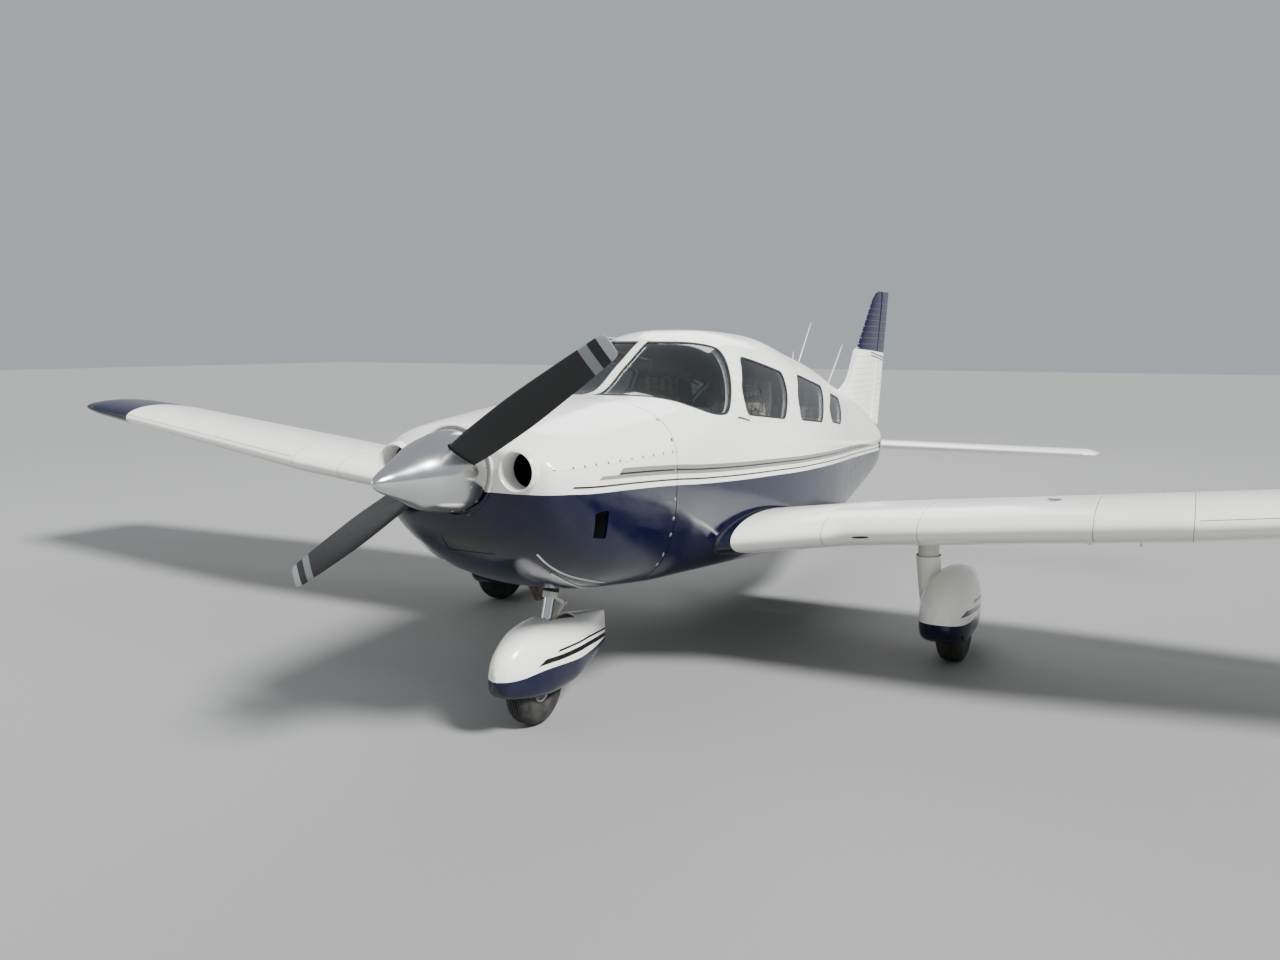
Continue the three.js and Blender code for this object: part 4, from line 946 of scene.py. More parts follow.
def polished_scheme(tree):
    """Spinning leaves fine rings round the axis, and polishing leaves faint swirls."""
    coordinates, x, y, z = own_place(tree)
    up = maths(tree, "SUBTRACT", z, SHAFT_HEIGHT / 1000)
    radius = maths(tree, "SQRT", maths(tree, "ADD", maths(tree, "MULTIPLY", x, x),
                                       maths(tree, "MULTIPLY", up, up)))
    # lathe rings 0.3 mm apart, drawn 4 mm apart so that they show
    spiral = add(tree, "CombineXYZ", {0: radius, 1: y, 2: 0.0}).outputs[0]
    rings = noise(tree, spiral, 240.0, 3.0)
    smears = noise(tree, coordinates, 18.0, 5.0)
    rough = remap(tree, smears, 0.0, 1.0, 0.10, 0.26)
    bump = raised(tree, rings, 0.05, 0.001)
    return {"Roughness": rough, "Normal": bump}


# Polished aluminium: near mirror, slightly warm grey
polished = surface("polished_aluminium", {"Base Color": linear("#D5D5D6"), "Metallic": 1.0},
                   polished_scheme)


def turned(name, profile, centre, axis, material=None, segments=64, edge=38):
    """A body turned about an axis, from a closed profile of radius and offset in millimetres."""
    turn = Vector(axis).to_track_quat("Z", "Y").to_matrix()
    c, s = circle(segments)
    points = []
    for radius, offset in profile:
        ring = np.stack([radius * c, radius * s, np.full(segments, offset)], -1)
        points.append(ring @ np.array(turn).T / 1000 + np.array(centre))
    faces = grid(len(profile), segments, True)
    thing = make(name, np.concatenate(points), faces, material, edge)
    weld = thing.modifiers.new("weld", "WELD")
    weld.merge_threshold = 1e-5
    settle(thing)
    if material:
        coat(thing, material)
    outward(thing)
    soften(thing, edge)
    return thing


def outward(thing):
    """Turns a closed mesh's faces outwards."""
    work = bmesh.new()
    work.from_mesh(thing.data)
    bmesh.ops.recalc_face_normals(work, faces=work.faces)
    work.to_mesh(thing.data)
    work.free()


offsets = np.concatenate([[0, 1, 3, 6], np.linspace(12, SPINNER_BACK, 40)])
profile = list(zip(between(SPINNER, offsets)[:, 0], offsets))
profile += [(60, SPINNER_BACK), (60, SPINNER_BACK - 10), (167, SPINNER_BACK - 10)]
profile += [(between(SPINNER, s)[0][0] - 6, s) for s in np.linspace(460, 70, 14)] + [(0, 60)]
spinner = turned("spinner_shell", profile, at(0, 0, SHAFT_HEIGHT), (0, 1, 0), polished, 128)
carve(spinner, *(loft("slot", blade_rings(side, np.linspace(60, 250, 14), 6))
                 for side in (1, -1)))
coat(spinner, polished, 32)
fit(spinner, "propeller", "spinner", slot="polished")

# Wheels and tyres: four-ply tyres on two-part cast wheels that turn on plain axles.
MAIN_WHEEL = {"x": 1555, "station": 3014, "radius": 222.5, "width": 146, "rim": 84, "axle": 16}
NOSE_WHEEL = {"x": 0, "station": 1065, "radius": 180.5, "width": 125, "rim": 70, "axle": 14}


def rubber_scheme(tree):
    """Black rubber with grey dust."""
    dust = noise(tree, own_place(tree)[0], 22.0, 6.0)
    amount = remap(tree, dust, 0.4, 0.75, 0.0, 0.35)
    color = blend(tree, amount, linear("#1C1C1D"), linear("#5A5750"))
    bump = raised(tree, dust, 0.2, 0.002)
    return {"Base Color": color, "Normal": bump}


# Vulcanised rubber: nearly black, matt, a little grey with dust
tyre_rubber = surface("tyre_rubber", {"Roughness": 0.78}, rubber_scheme)
# Cast alloy wheels painted silver: satin, slightly rough
cast_alloy = surface("painted_cast_alloy", {"Base Color": linear("#C9CBCB"), "Metallic": 0.6,
                                            "Roughness": 0.38})


def tyre_profile(radius, width, rim, **rest):
    """Half-round shoulders, a flat crown and four grooves round the tread."""
    half = width / 2
    side = [(rim + 1, -half * 0.74), (rim + 10, -half * 0.86),
            (rim + (radius - rim) * 0.3, -half * 0.98), (rim + (radius - rim) * 0.5, -half),
            (radius - 38, -half * 0.97), (radius - 22, -half * 0.88), (radius - 10, -half * 0.74),
            (radius - 3.5, -half * 0.58)]
    crown = [(radius - 1.2, -half * 0.46), (radius, -half * 0.36)]
    for groove in (-0.24, 0.0, 0.24):
        for offset, depth in ((-0.045, 0), (-0.04, 5), (0.04, 5), (0.045, 0)):
            crown.append((radius - depth, half * (groove + offset)))
    crown += [(radius, half * 0.36), (radius - 1.2, half * 0.46)]
    return side + crown + [(r, -x) for r, x in side[::-1]]


def rim_profile(width, rim, axle, **rest):
    half, bore = width / 2, axle + 1.5
    inner = [(bore, -half * 0.6), (34, -half * 0.6), (38, -half * 0.55), (44, -half * 0.3),
             (rim - 22, -14), (rim - 10, -half * 0.3), (rim - 6, -half * 0.66),
             (rim + 0.4, -half * 0.7)]
    return inner + [(r, -x) for r, x in inner[::-1]]


for kind, ending, side, size in (
        ("main", "_left", 1, MAIN_WHEEL), ("main", "_right", -1, MAIN_WHEEL),
        ("nose", "", 1, NOSE_WHEEL)):
    centre = at(side * size["x"], size["station"], size["radius"])
    wheel = f"{kind}_wheel{ending}"
    tyre = turned(f"{kind}_tyre{ending}_rubber", tyre_profile(**size), centre, (1, 0, 0),
                  tyre_rubber, 96, 50)
    fit(tyre, wheel, f"{kind}_tyre{ending}", slot="tyre_rubber")
    rim = turned(wheel + "_casting", rim_profile(**size), centre, (1, 0, 0), cast_alloy, 64)
    fit(rim, wheel, wheel, slot="wheel_metal")

# Wheel fairings: teardrop shells of glass fibre, open below round the tyre, sprayed white above
# and navy below with two short black lines.
MAIN_FAIRING = np.array([
    # station, top, bottom, half width
    [2672, 330, 275, 14], [2708, 410, 205, 70], [2790, 473, 152, 118], [2920, 517, 122, 140],
    [3070, 522, 117, 142], [3220, 510, 124, 136], [3420, 470, 152, 102], [3600, 428, 188, 56],
    [3716, 398, 214, 14]], float)
NOSE_FAIRING = np.array([
    [748, 318, 268, 10], [775, 375, 212, 54], [850, 440, 180, 96], [960, 490, 156, 122],
    [1090, 504, 142, 132], [1250, 486, 144, 126], [1440, 452, 168, 90], [1610, 422, 200, 46],
    [1722, 398, 226, 11]], float)
# where a fairing is widest, as a share of its height, and how square it is above and below
MAIN_SHAPE = {"x": 1520, "widest": 0.45, "upper": 2.1, "lower": 4.6}
NOSE_SHAPE = {"x": 0, "widest": 0.38, "upper": 2.1, "lower": 3.4}
FAIRING_WALL, STRUT_X, LEG_STATION = 8, 1395, 3010
SLEEVE = [(592, STRUT_X, 69, 95), (420, STRUT_X + 10, 60, 90), (300, STRUT_X + 16, 50, 76)]
SLEEVE_BORE = [(640, STRUT_X, 65, 87), (545, STRUT_X, 65, 87), (530, STRUT_X, 36, 42),
               (100, STRUT_X, 36, 42)]


def fairing(name, table, shape, inset=0):
    first, last = (table[1, 0], table[-2, 0]) if inset else (table[0, 0], table[-1, 0])
    nose = first + (table[2, 0] - first) * np.linspace(0, 1, 16) ** 2
    stations = np.concatenate([nose, np.linspace(nose[-1], last, 46)[1:]])
    rings = []
    for station, (top, bottom, half) in zip(stations, between(table, stations)):
        wide = bottom + (top - bottom) * shape["widest"]
        rings.append(rounded_box(shape["x"], station, top - inset, wide, bottom + inset,
                                 half - inset, shape["upper"], shape["lower"], 88))
    return loft(name, rings, edge=45)


def oval_rod(name, levels, material=None, sides=48):
    """An upright oval rod, its levels given as height, x, half width and half length."""
    c, s = circle(sides)
    return loft(name, [at(x + wide * c, LEG_STATION + long * s, z) for z, x, wide, long in levels],
                material)


def fairing_scheme(edge, lines):
    """Navy below an edge given as stations and heights, and black lines above it: each is a row of
    stations and heights, half its width and the station where it starts."""
    def pattern(tree):
        coordinates, x, y, z = own_place(tree)
        station = maths(tree, "ADD", y, LENGTH / 2000)
        share = maths(tree, "DIVIDE", station, 4.0)

        def level(row):
            rise = charted(tree, share, [(s / 4, height) for s, height in row])
            return maths(tree, "SUBTRACT", z, rise)
        color = blend(tree, maths(tree, "GREATER_THAN", level(edge), 0.0), NAVY, WHITE)
        for row, half, start in lines:
            off = level(row)
            inside = maths(tree, "LESS_THAN", maths(tree, "ABSOLUTE", off), half)
            begin = maths(tree, "MULTIPLY_ADD", off, 2.5, start)
            shown = maths(tree, "MULTIPLY", inside, maths(tree, "GREATER_THAN", station, begin))
            color = blend(tree, shown, color, BLACK)
        return weathered(tree, color, coordinates)
    return pattern


# Gloss enamel over moulded glass fibre: smooth, without the waves of sheet metal
nose_enamel = surface("nose_fairing_enamel", GLOSS, fairing_scheme(
    [(0.7, 0.286), (0.826, 0.289), (0.95, 0.298), (1.065, 0.294), (1.226, 0.278), (1.43, 0.264),
     (1.74, 0.255)],
    [([(0.9, 0.333), (0.974, 0.334), (1.134, 0.325), (1.325, 0.314), (1.5, 0.297), (1.72, 0.268)],
      0.0115, 0.955),
     ([(1.0, 0.362), (1.086, 0.359), (1.337, 0.345), (1.5, 0.330), (1.72, 0.298)], 0.0052, 1.086)]))
main_enamel = surface("main_fairing_enamel", GLOSS, fairing_scheme(
    [(2.66, 0.280), (2.76, 0.264), (2.96, 0.256), (3.26, 0.245), (3.72, 0.235)],
    [([(2.7, 0.322), (2.784, 0.320), (2.897, 0.314), (3.164, 0.287), (3.4, 0.268), (3.72, 0.248)],
      0.0145, 2.80),
     ([(2.9, 0.358), (2.996, 0.352), (3.161, 0.338), (3.4, 0.312), (3.72, 0.280)], 0.008, 2.995)]))

shell = carve(fairing("shell", MAIN_FAIRING, MAIN_SHAPE),
              fairing("shell_inside", MAIN_FAIRING, MAIN_SHAPE, FAIRING_WALL))
trim = block("trim", (MAIN_WHEEL["x"] - MAIN_WHEEL["width"] / 2 - 8, 2800, 0), (1600, 3300, 456))
carve(shell, carve(oval_rod("sleeve", SLEEVE), trim), how="UNION")
carve(shell, oval_rod("bore", SLEEVE_BORE),
      block("well", (MAIN_WHEEL["x"] - 85, MAIN_WHEEL["station"] - 222, -50),
            (MAIN_WHEEL["x"] + 85, MAIN_WHEEL["station"] + 222, 200)),
      block("gap", (STRUT_X - 18, LEG_STATION, 360), (STRUT_X + 18, 3170, 640)))
for word, thing in (("right", flip(shell, "main_fairing_right_shell")), ("left", shell)):
    coat(thing, main_enamel, 40)
    fit(thing, "airframe", "main_fairing_" + word, slot="fairing")
shell.name = "main_fairing_left_shell"

shell = carve(fairing("nose_fairing_shell", NOSE_FAIRING, NOSE_SHAPE),
              fairing("shell_inside", NOSE_FAIRING, NOSE_SHAPE, FAIRING_WALL))
carve(shell, block("well", (-78, NOSE_WHEEL["station"] - 205, -50),
                   (78, NOSE_WHEEL["station"] + 205, 200)),
      block("gap", (-52, 1105, 400), (52, 1365, 700)))
coat(shell, nose_enamel, 40)
fit(shell, "nose_gear", "nose_fairing", slot="fairing")

# Cowl fittings: a pressed ring behind the spinner, countersunk screws along the level seam, turn
# fasteners down the rear edge, and two thin polished strips that follow the chin.
def lifted(point, lift):
    """A point on the hull raised along the hull's normal there, and that normal."""
    normal = hull_gap(point[None])[1][0]
    return point + normal * lift / 1000, normal


def hull_at(side, station, height, lift=0.0):
    """A point on the hull's side at a station and height in millimetres, and the normal there."""
    top, wide, bottom, half, upper, lower = between(HULL, station)[0]
    rise, power = (top - wide, upper) if height >= wide else (wide - bottom, lower)
    x = half * max(0.0, 1 - (abs(height - wide) / rise) ** power) ** (1 / power)
    return lifted(at(side * x, station, height), lift)


def hull_over(x, station):
    """A point on the hull's top, and the normal there."""
    top, wide, _, half, upper, _ = between(HULL, station)[0]
    height = wide + (top - wide) * max(0.0, 1 - (abs(x) / half) ** upper) ** (1 / upper)
    return lifted(at(x, station, height), 0.0)


def studs(name, places, radius, height, material, sides=10, sunk=0.5):
    """Low domed heads in one mesh: places are pairs of a point in metres and its normal."""
    rim = np.stack(circle(sides), -1)
    levels = ((radius, -sunk), (radius, height * 0.3), (radius * 0.66, height * 0.85))
    shape = np.concatenate([np.column_stack([rim * r, np.full(sides, h)]) for r, h in levels]
                           + [[[0, 0, height]]]) / 1000
    faces = [list(range(sides))[::-1]] + grid(len(levels), sides)
    faces += [(2 * sides + j, 2 * sides + (j + 1) % sides, 3 * sides) for j in range(sides)]
    points, every = [], []
    for index, (point, normal) in enumerate(places):
        turn = np.array(Vector(normal).to_track_quat("Z", "Y").to_matrix())
        points.append(shape @ turn.T + np.asarray(point))
        every += [[k + index * len(shape) for k in face] for face in faces]
    return make(name, np.concatenate(points), every, material, 50)


def curve(points, cuts=8):
    """A smooth path through points."""
    p = np.asarray(points, float)
    p = np.vstack([2 * p[0] - p[1], p, 2 * p[-1] - p[-2]])
    made = []
    for a, b, c, d in zip(p, p[1:], p[2:], p[3:]):
        for t in np.arange(cuts) / cuts:
            made.append(0.5 * (2 * b + (c - a) * t + (2 * a - 5 * b + 4 * c - d) * t**2
                               + (3 * b - a - 3 * c + d) * t**3))
    return np.array(made + [p[-2]])


def tube(name, path, radius, material=None, sides=12, edge=50):
    """A round bar along a path in metres, with one radius in millimetres or one for each point."""
    path = np.asarray(path, float)
    radii = np.broadcast_to(np.asarray(radius, float), len(path)) / 1000
    ahead = np.gradient(path, axis=0)
    ahead /= np.linalg.norm(ahead, axis=1)[:, None]
    across = np.cross(ahead[0], (0, 0, 1) if abs(ahead[0][2]) < 0.9 else (1, 0, 0))
    c, s = (values[:, None] for values in circle(sides))
    rings = []
    for point, way, r in zip(path, ahead, radii):
        across = across - way * (across @ way)
        across /= np.linalg.norm(across)
        rings.append(point + r * (c * across + s * np.cross(way, across)))
    return loft(name, rings, material, edge)


def joined(name, *parts, material=None, edge=38):
    """Overlapping closed meshes made into one."""
    first = carve(parts[0], *parts[1:], how="UNION")
    first.name = name
    if material:
        coat(first, material)
    soften(first, edge)
    return first


def worn(low, high, scale, relief=0.0, stain=None, color=None):
    """Uneven gloss between two roughnesses, with fine relief and stains if they are asked for."""
    def pattern(tree):
        spots = noise(tree, own_place(tree)[0], scale, 5.0, 0.6)
        made = {"Roughness": remap(tree, spots, 0.3, 0.7, low, high)}
        if relief:
            made["Normal"] = raised(tree, spots, relief, 0.002)
        if stain:
            amount = remap(tree, spots, 0.5, 0.72)
            made["Base Color"] = blend(tree, amount, linear(color), linear(stain))
        return made
    return pattern


# Zinc-plated and stainless steel: bright, slightly uneven
plated_steel = surface("plated_steel", {"Base Color": linear("#C3C6C9"), "Metallic": 1.0},
                       worn(0.18, 0.34, 40.0))
# Bare cold-drawn aluminium strip, polished by hand
bright_strip = surface("polished_strip", {"Base Color": linear("#DADBDD"), "Metallic": 1.0},
                       worn(0.10, 0.22, 60.0))
ring_path = [(183, 489.5), (186, 489), (190, 490), (192.5, 493), (193, 500), (193, 508), (120, 508),
             (120, 503), (181, 503), (182, 497)]
ring = turned("cowl_spinner_ring", [(r, s - 490) for r, s in ring_path], at(0, 490, SHAFT_HEIGHT),
              (0, 1, 0), fuselage_enamel, 128, 40)
fit(ring, "airframe", slot="navy_skin")
heads = [hull_at(side, s, INLET["z"] + 9, -0.4) for side in (-1, 1)
         for s in (556, 640, 708, 780, 865, 950, 1040, 1130, 1220, 1310, 1395)]
heads += [(at(193 * math.cos(a), 499, SHAFT_HEIGHT + 193 * math.sin(a)),
           (math.cos(a), 0, math.sin(a)))
          for a in np.radians([20, 70, 110, 160, 200, 250, 290, 340])]
fit(studs("cowl_seam_screws", heads, 6.5, 1.6, plated_steel), "airframe", slot="steel")
fastener_heads = [hull_at(side, 1413, z) for side in (-1, 1)
                  for z in (1430, 1340, 1200, 1065, 970, 892, 794, 744)]
fit(studs("cowl_rear_fasteners", fastener_heads, 10, 2.2, plated_steel, 16), "airframe",
    slot="steel")
spinner_heads = []
for count in range(14):
    turn = 2 * math.pi * (count + 0.3) / 14
    for s in (398, 474):
        r = between(SPINNER, s)[0][0]
        spinner_heads.append((at(r * math.cos(turn), s, SHAFT_HEIGHT + r * math.sin(turn)),
                              (math.cos(turn), -0.1, math.sin(turn))))
fit(studs("spinner_screws", spinner_heads, 5.5, 1.6, plated_steel, 12), "propeller", slot="steel")
STRIPS = {"upper": [(634, 305, 920), (725, 310, 853), (860, 325, 784), (996, 345, 739),
                    (1118, 347, 706)],
          "lower": [(773, 284, 810), (933, 280, 733), (1180, 237, 653)]}
for word, side in SIDES:
    for letter, line in STRIPS.items():
        path = at(*np.array([(side * x, s, z) for s, x, z in line], float).T)
        path = curve(path, 10)
        for _ in range(8):
            gap, normal = hull_gap(path)
            path = path - normal * (gap[:, None] - 0.0004)
        strip = tube(f"cowl_strip_{letter}_{word}", path, 5, bright_strip, 12)
        fit(strip, "airframe", slot="polished")

# Engine: a flat four with finned cylinders, rocker covers and a dark baffle, seen through the
# inlets.
# Cast aluminium and iron, painted grey and greyed by heat
cast_grey = surface("cast_engine_grey", {"Metallic": 0.4},
                    worn(0.45, 0.7, 25.0, 0.3, "#1A1917", "#4A4B4C"))
crankcase = loft("crankcase", [rounded_box(0, s, 1228 + h, 1228, 1228 - h, w, 4, 4, 48)
                               for s, w, h in ((705, 70, 60), (740, 110, 92), (780, 118, 105),
                                               (1180, 118, 105), (1240, 105, 95), (1320, 90, 80))])
cylinders = []
for side in (-1, 1):
    for s in (860 + 15 * side, 1065 + 15 * side):
        outline = [(0.001, 100)]
        for k in range(13):
            x = 130 + k * 13
            outline += [(62, x - 6), (84, x - 3.6), (84, x - 1.4), (62, x + 1)]
        outline += [(70, 300), (76, 306), (76, 352), (68, 368), (0.001, 372)]
        cylinders.append(turned("cylinder", outline, at(0, s, 1228), (side, 0, 0), None, 36))
baffle = loft("baffle", [rounded_box(0, s, 1345, 1228, 1120, 380, 5, 5, 64) for s in (1300, 1312)])
engine = joined("engine_block", crankcase, *cylinders, baffle, material=cast_grey)
fit(engine, "airframe", "engine", slot="engine_block")

# Firewall: stainless sheet with pressed stiffening beads, between the engine bay and the cabin.
firewall = hull("firewall_sheet", 1434, 1440, 35.5, 3)
ridges = [rod("bead", at(-380, 1440, z), at(380, 1440, z), 5.5, sides=16)
          for z in range(760, 1241, 120)]
stainless = surface("stainless_sheet", {"Base Color": linear("#A4A6A6"), "Metallic": 1.0},
                    worn(0.28, 0.5, 9.0))
fit(joined("firewall_sheet", firewall, *ridges, material=stainless), "airframe", "firewall",
    slot="steel")

# Exhaust: one welded stainless stack that turns aft below the cowl's outlet, open at its end.
# Stainless burnt brown and blue near its end
burnt_steel = surface("burnt_stainless", {"Metallic": 1.0},
                      worn(0.35, 0.6, 30.0, 0.1, "#3A2E26", "#7A7168"))
bend = curve([at(-110, 1180, 1050), at(-110, 1180, 860), at(-110, 1184, 745), at(-112, 1215, 665),
              at(-115, 1255, 605), at(-118, 1297, 547)], 8)
stack = tube("exhaust_stack", bend, 29.5, None, 36)
bore = tube("bore", np.vstack([bend[14:], bend[-1] + (bend[-1] - bend[-2]) * 0.4]), 27, None, 36)
collars = [tube("collar", bend[k:k + 2], 31.5, None, 36) for k in (8, 22)]
carve(carve(stack, *collars, how="UNION"), bore)
coat(stack, burnt_steel, 38)
fit(stack, "airframe", "exhaust_pipe", slot="steel")

# Main legs: an oval cast housing under each wing, a chromed oleo piston, steel torque links and the
# stub axle that carries wheel and brake.
# Warm pale grey enamel on the housing, chrome on the piston
leg_enamel = surface("leg_enamel",
                     {"Base Color": linear("#D9D5C9"), "IOR": 1.5, "Coat Weight": 0.2},
                     worn(0.25, 0.45, 20.0, 0.05))
chrome = surface("chromed_steel", {"Base Color": linear("#D6D8DB"), "Metallic": 1.0},
                 worn(0.04, 0.12, 30.0))


def link(name, start, end, x, width, thick):
    """A torque link: a flat tapered bar between two pins, given as station and height."""
    (s0, z0), (s1, z1) = start, end
    run = np.array([s1 - s0, z1 - z0], float)
    run /= np.linalg.norm(run)
    side = np.array([-run[1], run[0]])
    ring = []
    for (s, z), way, w in ((start, -1, width), (end, 1, width * 0.72)):
        for a in np.linspace(-90, 90, 9):
            turn = math.radians(a)
            ring.append(np.array([s, z]) + way * run * w * math.cos(turn)
                        + side * w * math.sin(turn) * way)
    ring = np.array(ring)
    return loft(name, [at(x + dx, ring[:, 0], ring[:, 1]) for dx in (-thick / 2, thick / 2)])


housing = oval_rod("housing", [(840, STRUT_X, 58, 80), (610, STRUT_X, 58, 80),
                               (585, STRUT_X, 57, 79), (568, STRUT_X, 54, 76), (561, STRUT_X, 48, 70)])
collar = oval_rod("collar", [(732, STRUT_X, 57, 79), (729, STRUT_X, 59.5, 81.5),
                             (716, STRUT_X, 59.5, 81.5), (713, STRUT_X, 57, 79)])
foot = rod("foot", at(STRUT_X, LEG_STATION, 262), at(STRUT_X, LEG_STATION + 4, 191), 32, sides=40)
cap = rod("cap", at(STRUT_X, LEG_STATION, 300), at(STRUT_X, LEG_STATION, 255), 30, 31.5, sides=40)
AXLE = MAIN_WHEEL["station"], MAIN_WHEEL["radius"]
axle = rod("axle", at(STRUT_X - 20, *AXLE), at(1640, *AXLE), 16, sides=32)
nut = rod("nut", at(1630, *AXLE), at(1640, *AXLE), 16.2, sides=6)
upper_link = link("upper_link", (LEG_STATION + 60, 600), (3138, 503), STRUT_X, 13, 22)
lower_link = link("lower_link", (LEG_STATION + 14, 392), (3138, 503), STRUT_X, 13, 20)
pins = [rod("pin", at(STRUT_X - w, s, z), at(STRUT_X + w, s, z), r, sides=20)
        for s, z, w, r in ((3138, 503, 13, 7), (LEG_STATION + 16, 392, 13, 9))]
main_leg = joined("main_leg", housing, collar, foot, cap, axle, nut, upper_link, lower_link, *pins,
                  material=leg_enamel)
carve(main_leg, loft("wing", [wing_section(x, drop=0.5) for x in (1200, 1395, 1600)]))
piston = rod("piston", at(STRUT_X, LEG_STATION, 575), at(STRUT_X, LEG_STATION, 270), 27, None,
             chrome, sides=48)
fit_pair(piston, "main_leg_{}_piston", "steel")
fit_pair(main_leg, "main_leg_{}_casting", "steel", node="main_leg_{}")

# Nose leg: an oleo housing held by a welded tube frame on the firewall. Below it the chromed piston,
# the wheel fork and its torque links turn with the steering.
NOSE_RAKE, FORK_X = 0.33, 77
NOSE_HUB = NOSE_WHEEL["station"], NOSE_WHEEL["radius"]


def nose_leg(z, x=0):
    return at(x, 1195 + NOSE_RAKE * (z - 540), z)


parts = [rod("barrel", nose_leg(958), nose_leg(603), 38, sides=48)]
parts += [rod("ring", nose_leg(z), nose_leg(z - h), r, sides=48) for z, h, r in
          ((935, 22, 40), (700, 40, 40), (640, 10, 39.5), (618, 15, 40))]
for side in (-1, 1):
    for top, x, z in ((900, 230, 1010), (680, 160, 690)):
        end = at(side * x, 1420, z)
        parts.append(rod("brace", nose_leg(top), end, 12, sides=24))
        parts.append(rod("lug", at(side * x, 1414, z), at(side * x, 1432, z), 14, sides=24))
# Cast magnesium, painted dark as painted shade: the housing and its frame stand in the shadow under
# the cowling
shade_dark_casting = surface("shade_dark_casting", {"Base Color": linear("#2E3032"), "Metallic": 0.6},
                       worn(0.45, 0.65, 60.0, 0.15))
frame_tubes = joined("nose_leg_housing", *parts, material=shade_dark_casting)
fit(frame_tubes, "airframe", "nose_leg_frame", slot="steel")

parts = [rod("hexagon", nose_leg(597), nose_leg(574), 41, sides=6),
         rod("seat", nose_leg(600), nose_leg(572), 35, sides=48),
         rod("crown", nose_leg(420), nose_leg(380), 33, 30, sides=40)]
for side in (-1, 1):
    shoulder = curve([nose_leg(395), nose_leg(397, side * 45), nose_leg(390, side * 72),
                      nose_leg(365, side * FORK_X), nose_leg(340, side * FORK_X)], 6)
    parts.append(tube("shoulder", shoulder, 15, None, 24))
    parts.append(rod("blade", nose_leg(362, side * FORK_X), at(side * FORK_X, *NOSE_HUB), 9.5, 8.5,
                     sides=24))
parts.append(rod("axle", at(-82, *NOSE_HUB), at(82, *NOSE_HUB), 14, sides=32))
knee = at(0, 1330, 522)
parts += [tube("upper_link", curve([nose_leg(586), at(0, 1262, 560), knee], 6), 11, None, 20),
          tube("lower_link", curve([knee, at(0, 1240, 462), nose_leg(425)], 6), 11, None, 20),
          rod("pin", at(-16, 1330, 522), at(16, 1330, 522), 8, sides=20)]
fork = joined("nose_fork_steel", *parts, material=leg_enamel)
fit(fork, "nose_gear", "nose_fork", slot="steel")
nose_piston = rod("nose_piston", nose_leg(580), nose_leg(400), 27, None, chrome, sides=48)
fit(nose_piston, "nose_gear", slot="steel")
collar = turned("nose_leg_collar", [(26.5, 16), (33, 16), (36, 12), (37, 0), (48, -4), (50, -10),
                                    (26.5, -10)],
                nose_leg(432), nose_leg(540) - nose_leg(432), plated_steel, 48)
fit(collar, "nose_gear", slot="steel")

# Aerials and probe: a moulded blade on the roof, two whips with moulded feet, and a thermometer
# pushed out over the right windscreen.
AERIALS = {"blade": (4560, 0, 60, 130, 14), "whip_left": (5325, 30, 423, 330, 7),
           "whip_right": (4785, -60, 398, 405, 7)}
# Moulded plastic over wire: off-white, satin
aerial_plastic = surface("moulded_aerial", {"Base Color": linear("#E4E1D6"), "IOR": 1.46},
                         worn(0.3, 0.5, 30.0))
for name, (station, x, lean, height, radius) in AERIALS.items():
    top = between(HULL, station)[0][0]
    foot, tip = at(x, station, top - 30), at(x, station + lean, top + height)
    if name == "blade":
        rings = []
        for t in np.linspace(0, 1, 10):
            a, b = (aerofoil(0.28, cuts=16) * (1 - 0.45 * t) * 26).T
            middle = foot + (tip - foot) * t
            rings.append(middle + np.stack([b, a - 13, 0 * a], -1) / 1000)
        mast = loft("aerial_blade_mast", rings, edge=40)
    else:
        t = np.linspace(0, 1, 14)[:, None]
        radii = np.concatenate([[radius], np.linspace(radius * 0.9, radius * 0.5, 12),
                                [radius * 0.3]])
        mast = tube("aerial_" + name + "_rod", foot + (tip - foot) * t, radii, None, 16)
    carve(mast, hull("cabin", CABIN_FRONT, CABIN_BACK, -0.5),
          hull("cone", CABIN_BACK + 0.5, CONE_BACK, -0.5))
    coat(mast, aerial_plastic)
    fit(mast, "airframe", "aerial_" + name, slot="fairing")
    boot = studs("aerial_" + name + "_boot", [hull_over(x, station)], 17, 5, seal_rubber, 28)
    fit(boot, "airframe", slot="cabin_trim")
probe_path = [at(-200, s, z) for s, z in ((2330, 1795), (2300, 1797), (2296, 1797), (2200, 1802.5),
                                          (2150, 1805.3), (2137, 1806))]
probe = tube("thermometer_tube", probe_path, [11, 11, 8, 7.5, 7, 4], None, 24)
carve(probe, hull("cabin", CABIN_FRONT, CABIN_BACK, -0.5))
coat(probe, plated_steel)
fit(probe, "airframe", "thermometer_probe", slot="steel")

# Pitot mast: a swept blade under the left wing with a drilled head, and the boarding step of bent
# tube with a grooved tread behind the right wing.
PITOT_X = 3320
rings = []
for t in np.linspace(0, 1, 12):
    a, b = (aerofoil(0.3, cuts=16) * (1 - 0.25 * t) * 40).T
    rings.append(at(PITOT_X + b, 2640 + 10 * t + a, np.full_like(a, 1040 - 205 * t)))
mast = loft("mast", rings)
c, s = circle(24)
head = loft("head", [at(PITOT_X + r * c, station, 840 + r * s) for station, r in
                     ((2580, 7), (2583, 9.5), (2590, 11.5), (2610, 12.6), (2670, 12.8),
                      (2692, 11.5), (2699, 8))])
pitot = joined("pitot_mast_blade", mast, head, material=wing_enamel)
carve(pitot, loft("wing", [wing_section(x, drop=0.5) for x in (3200, 3320, 3440)]))
fit(pitot, "airframe", "pitot_mast", slot="white_skin")

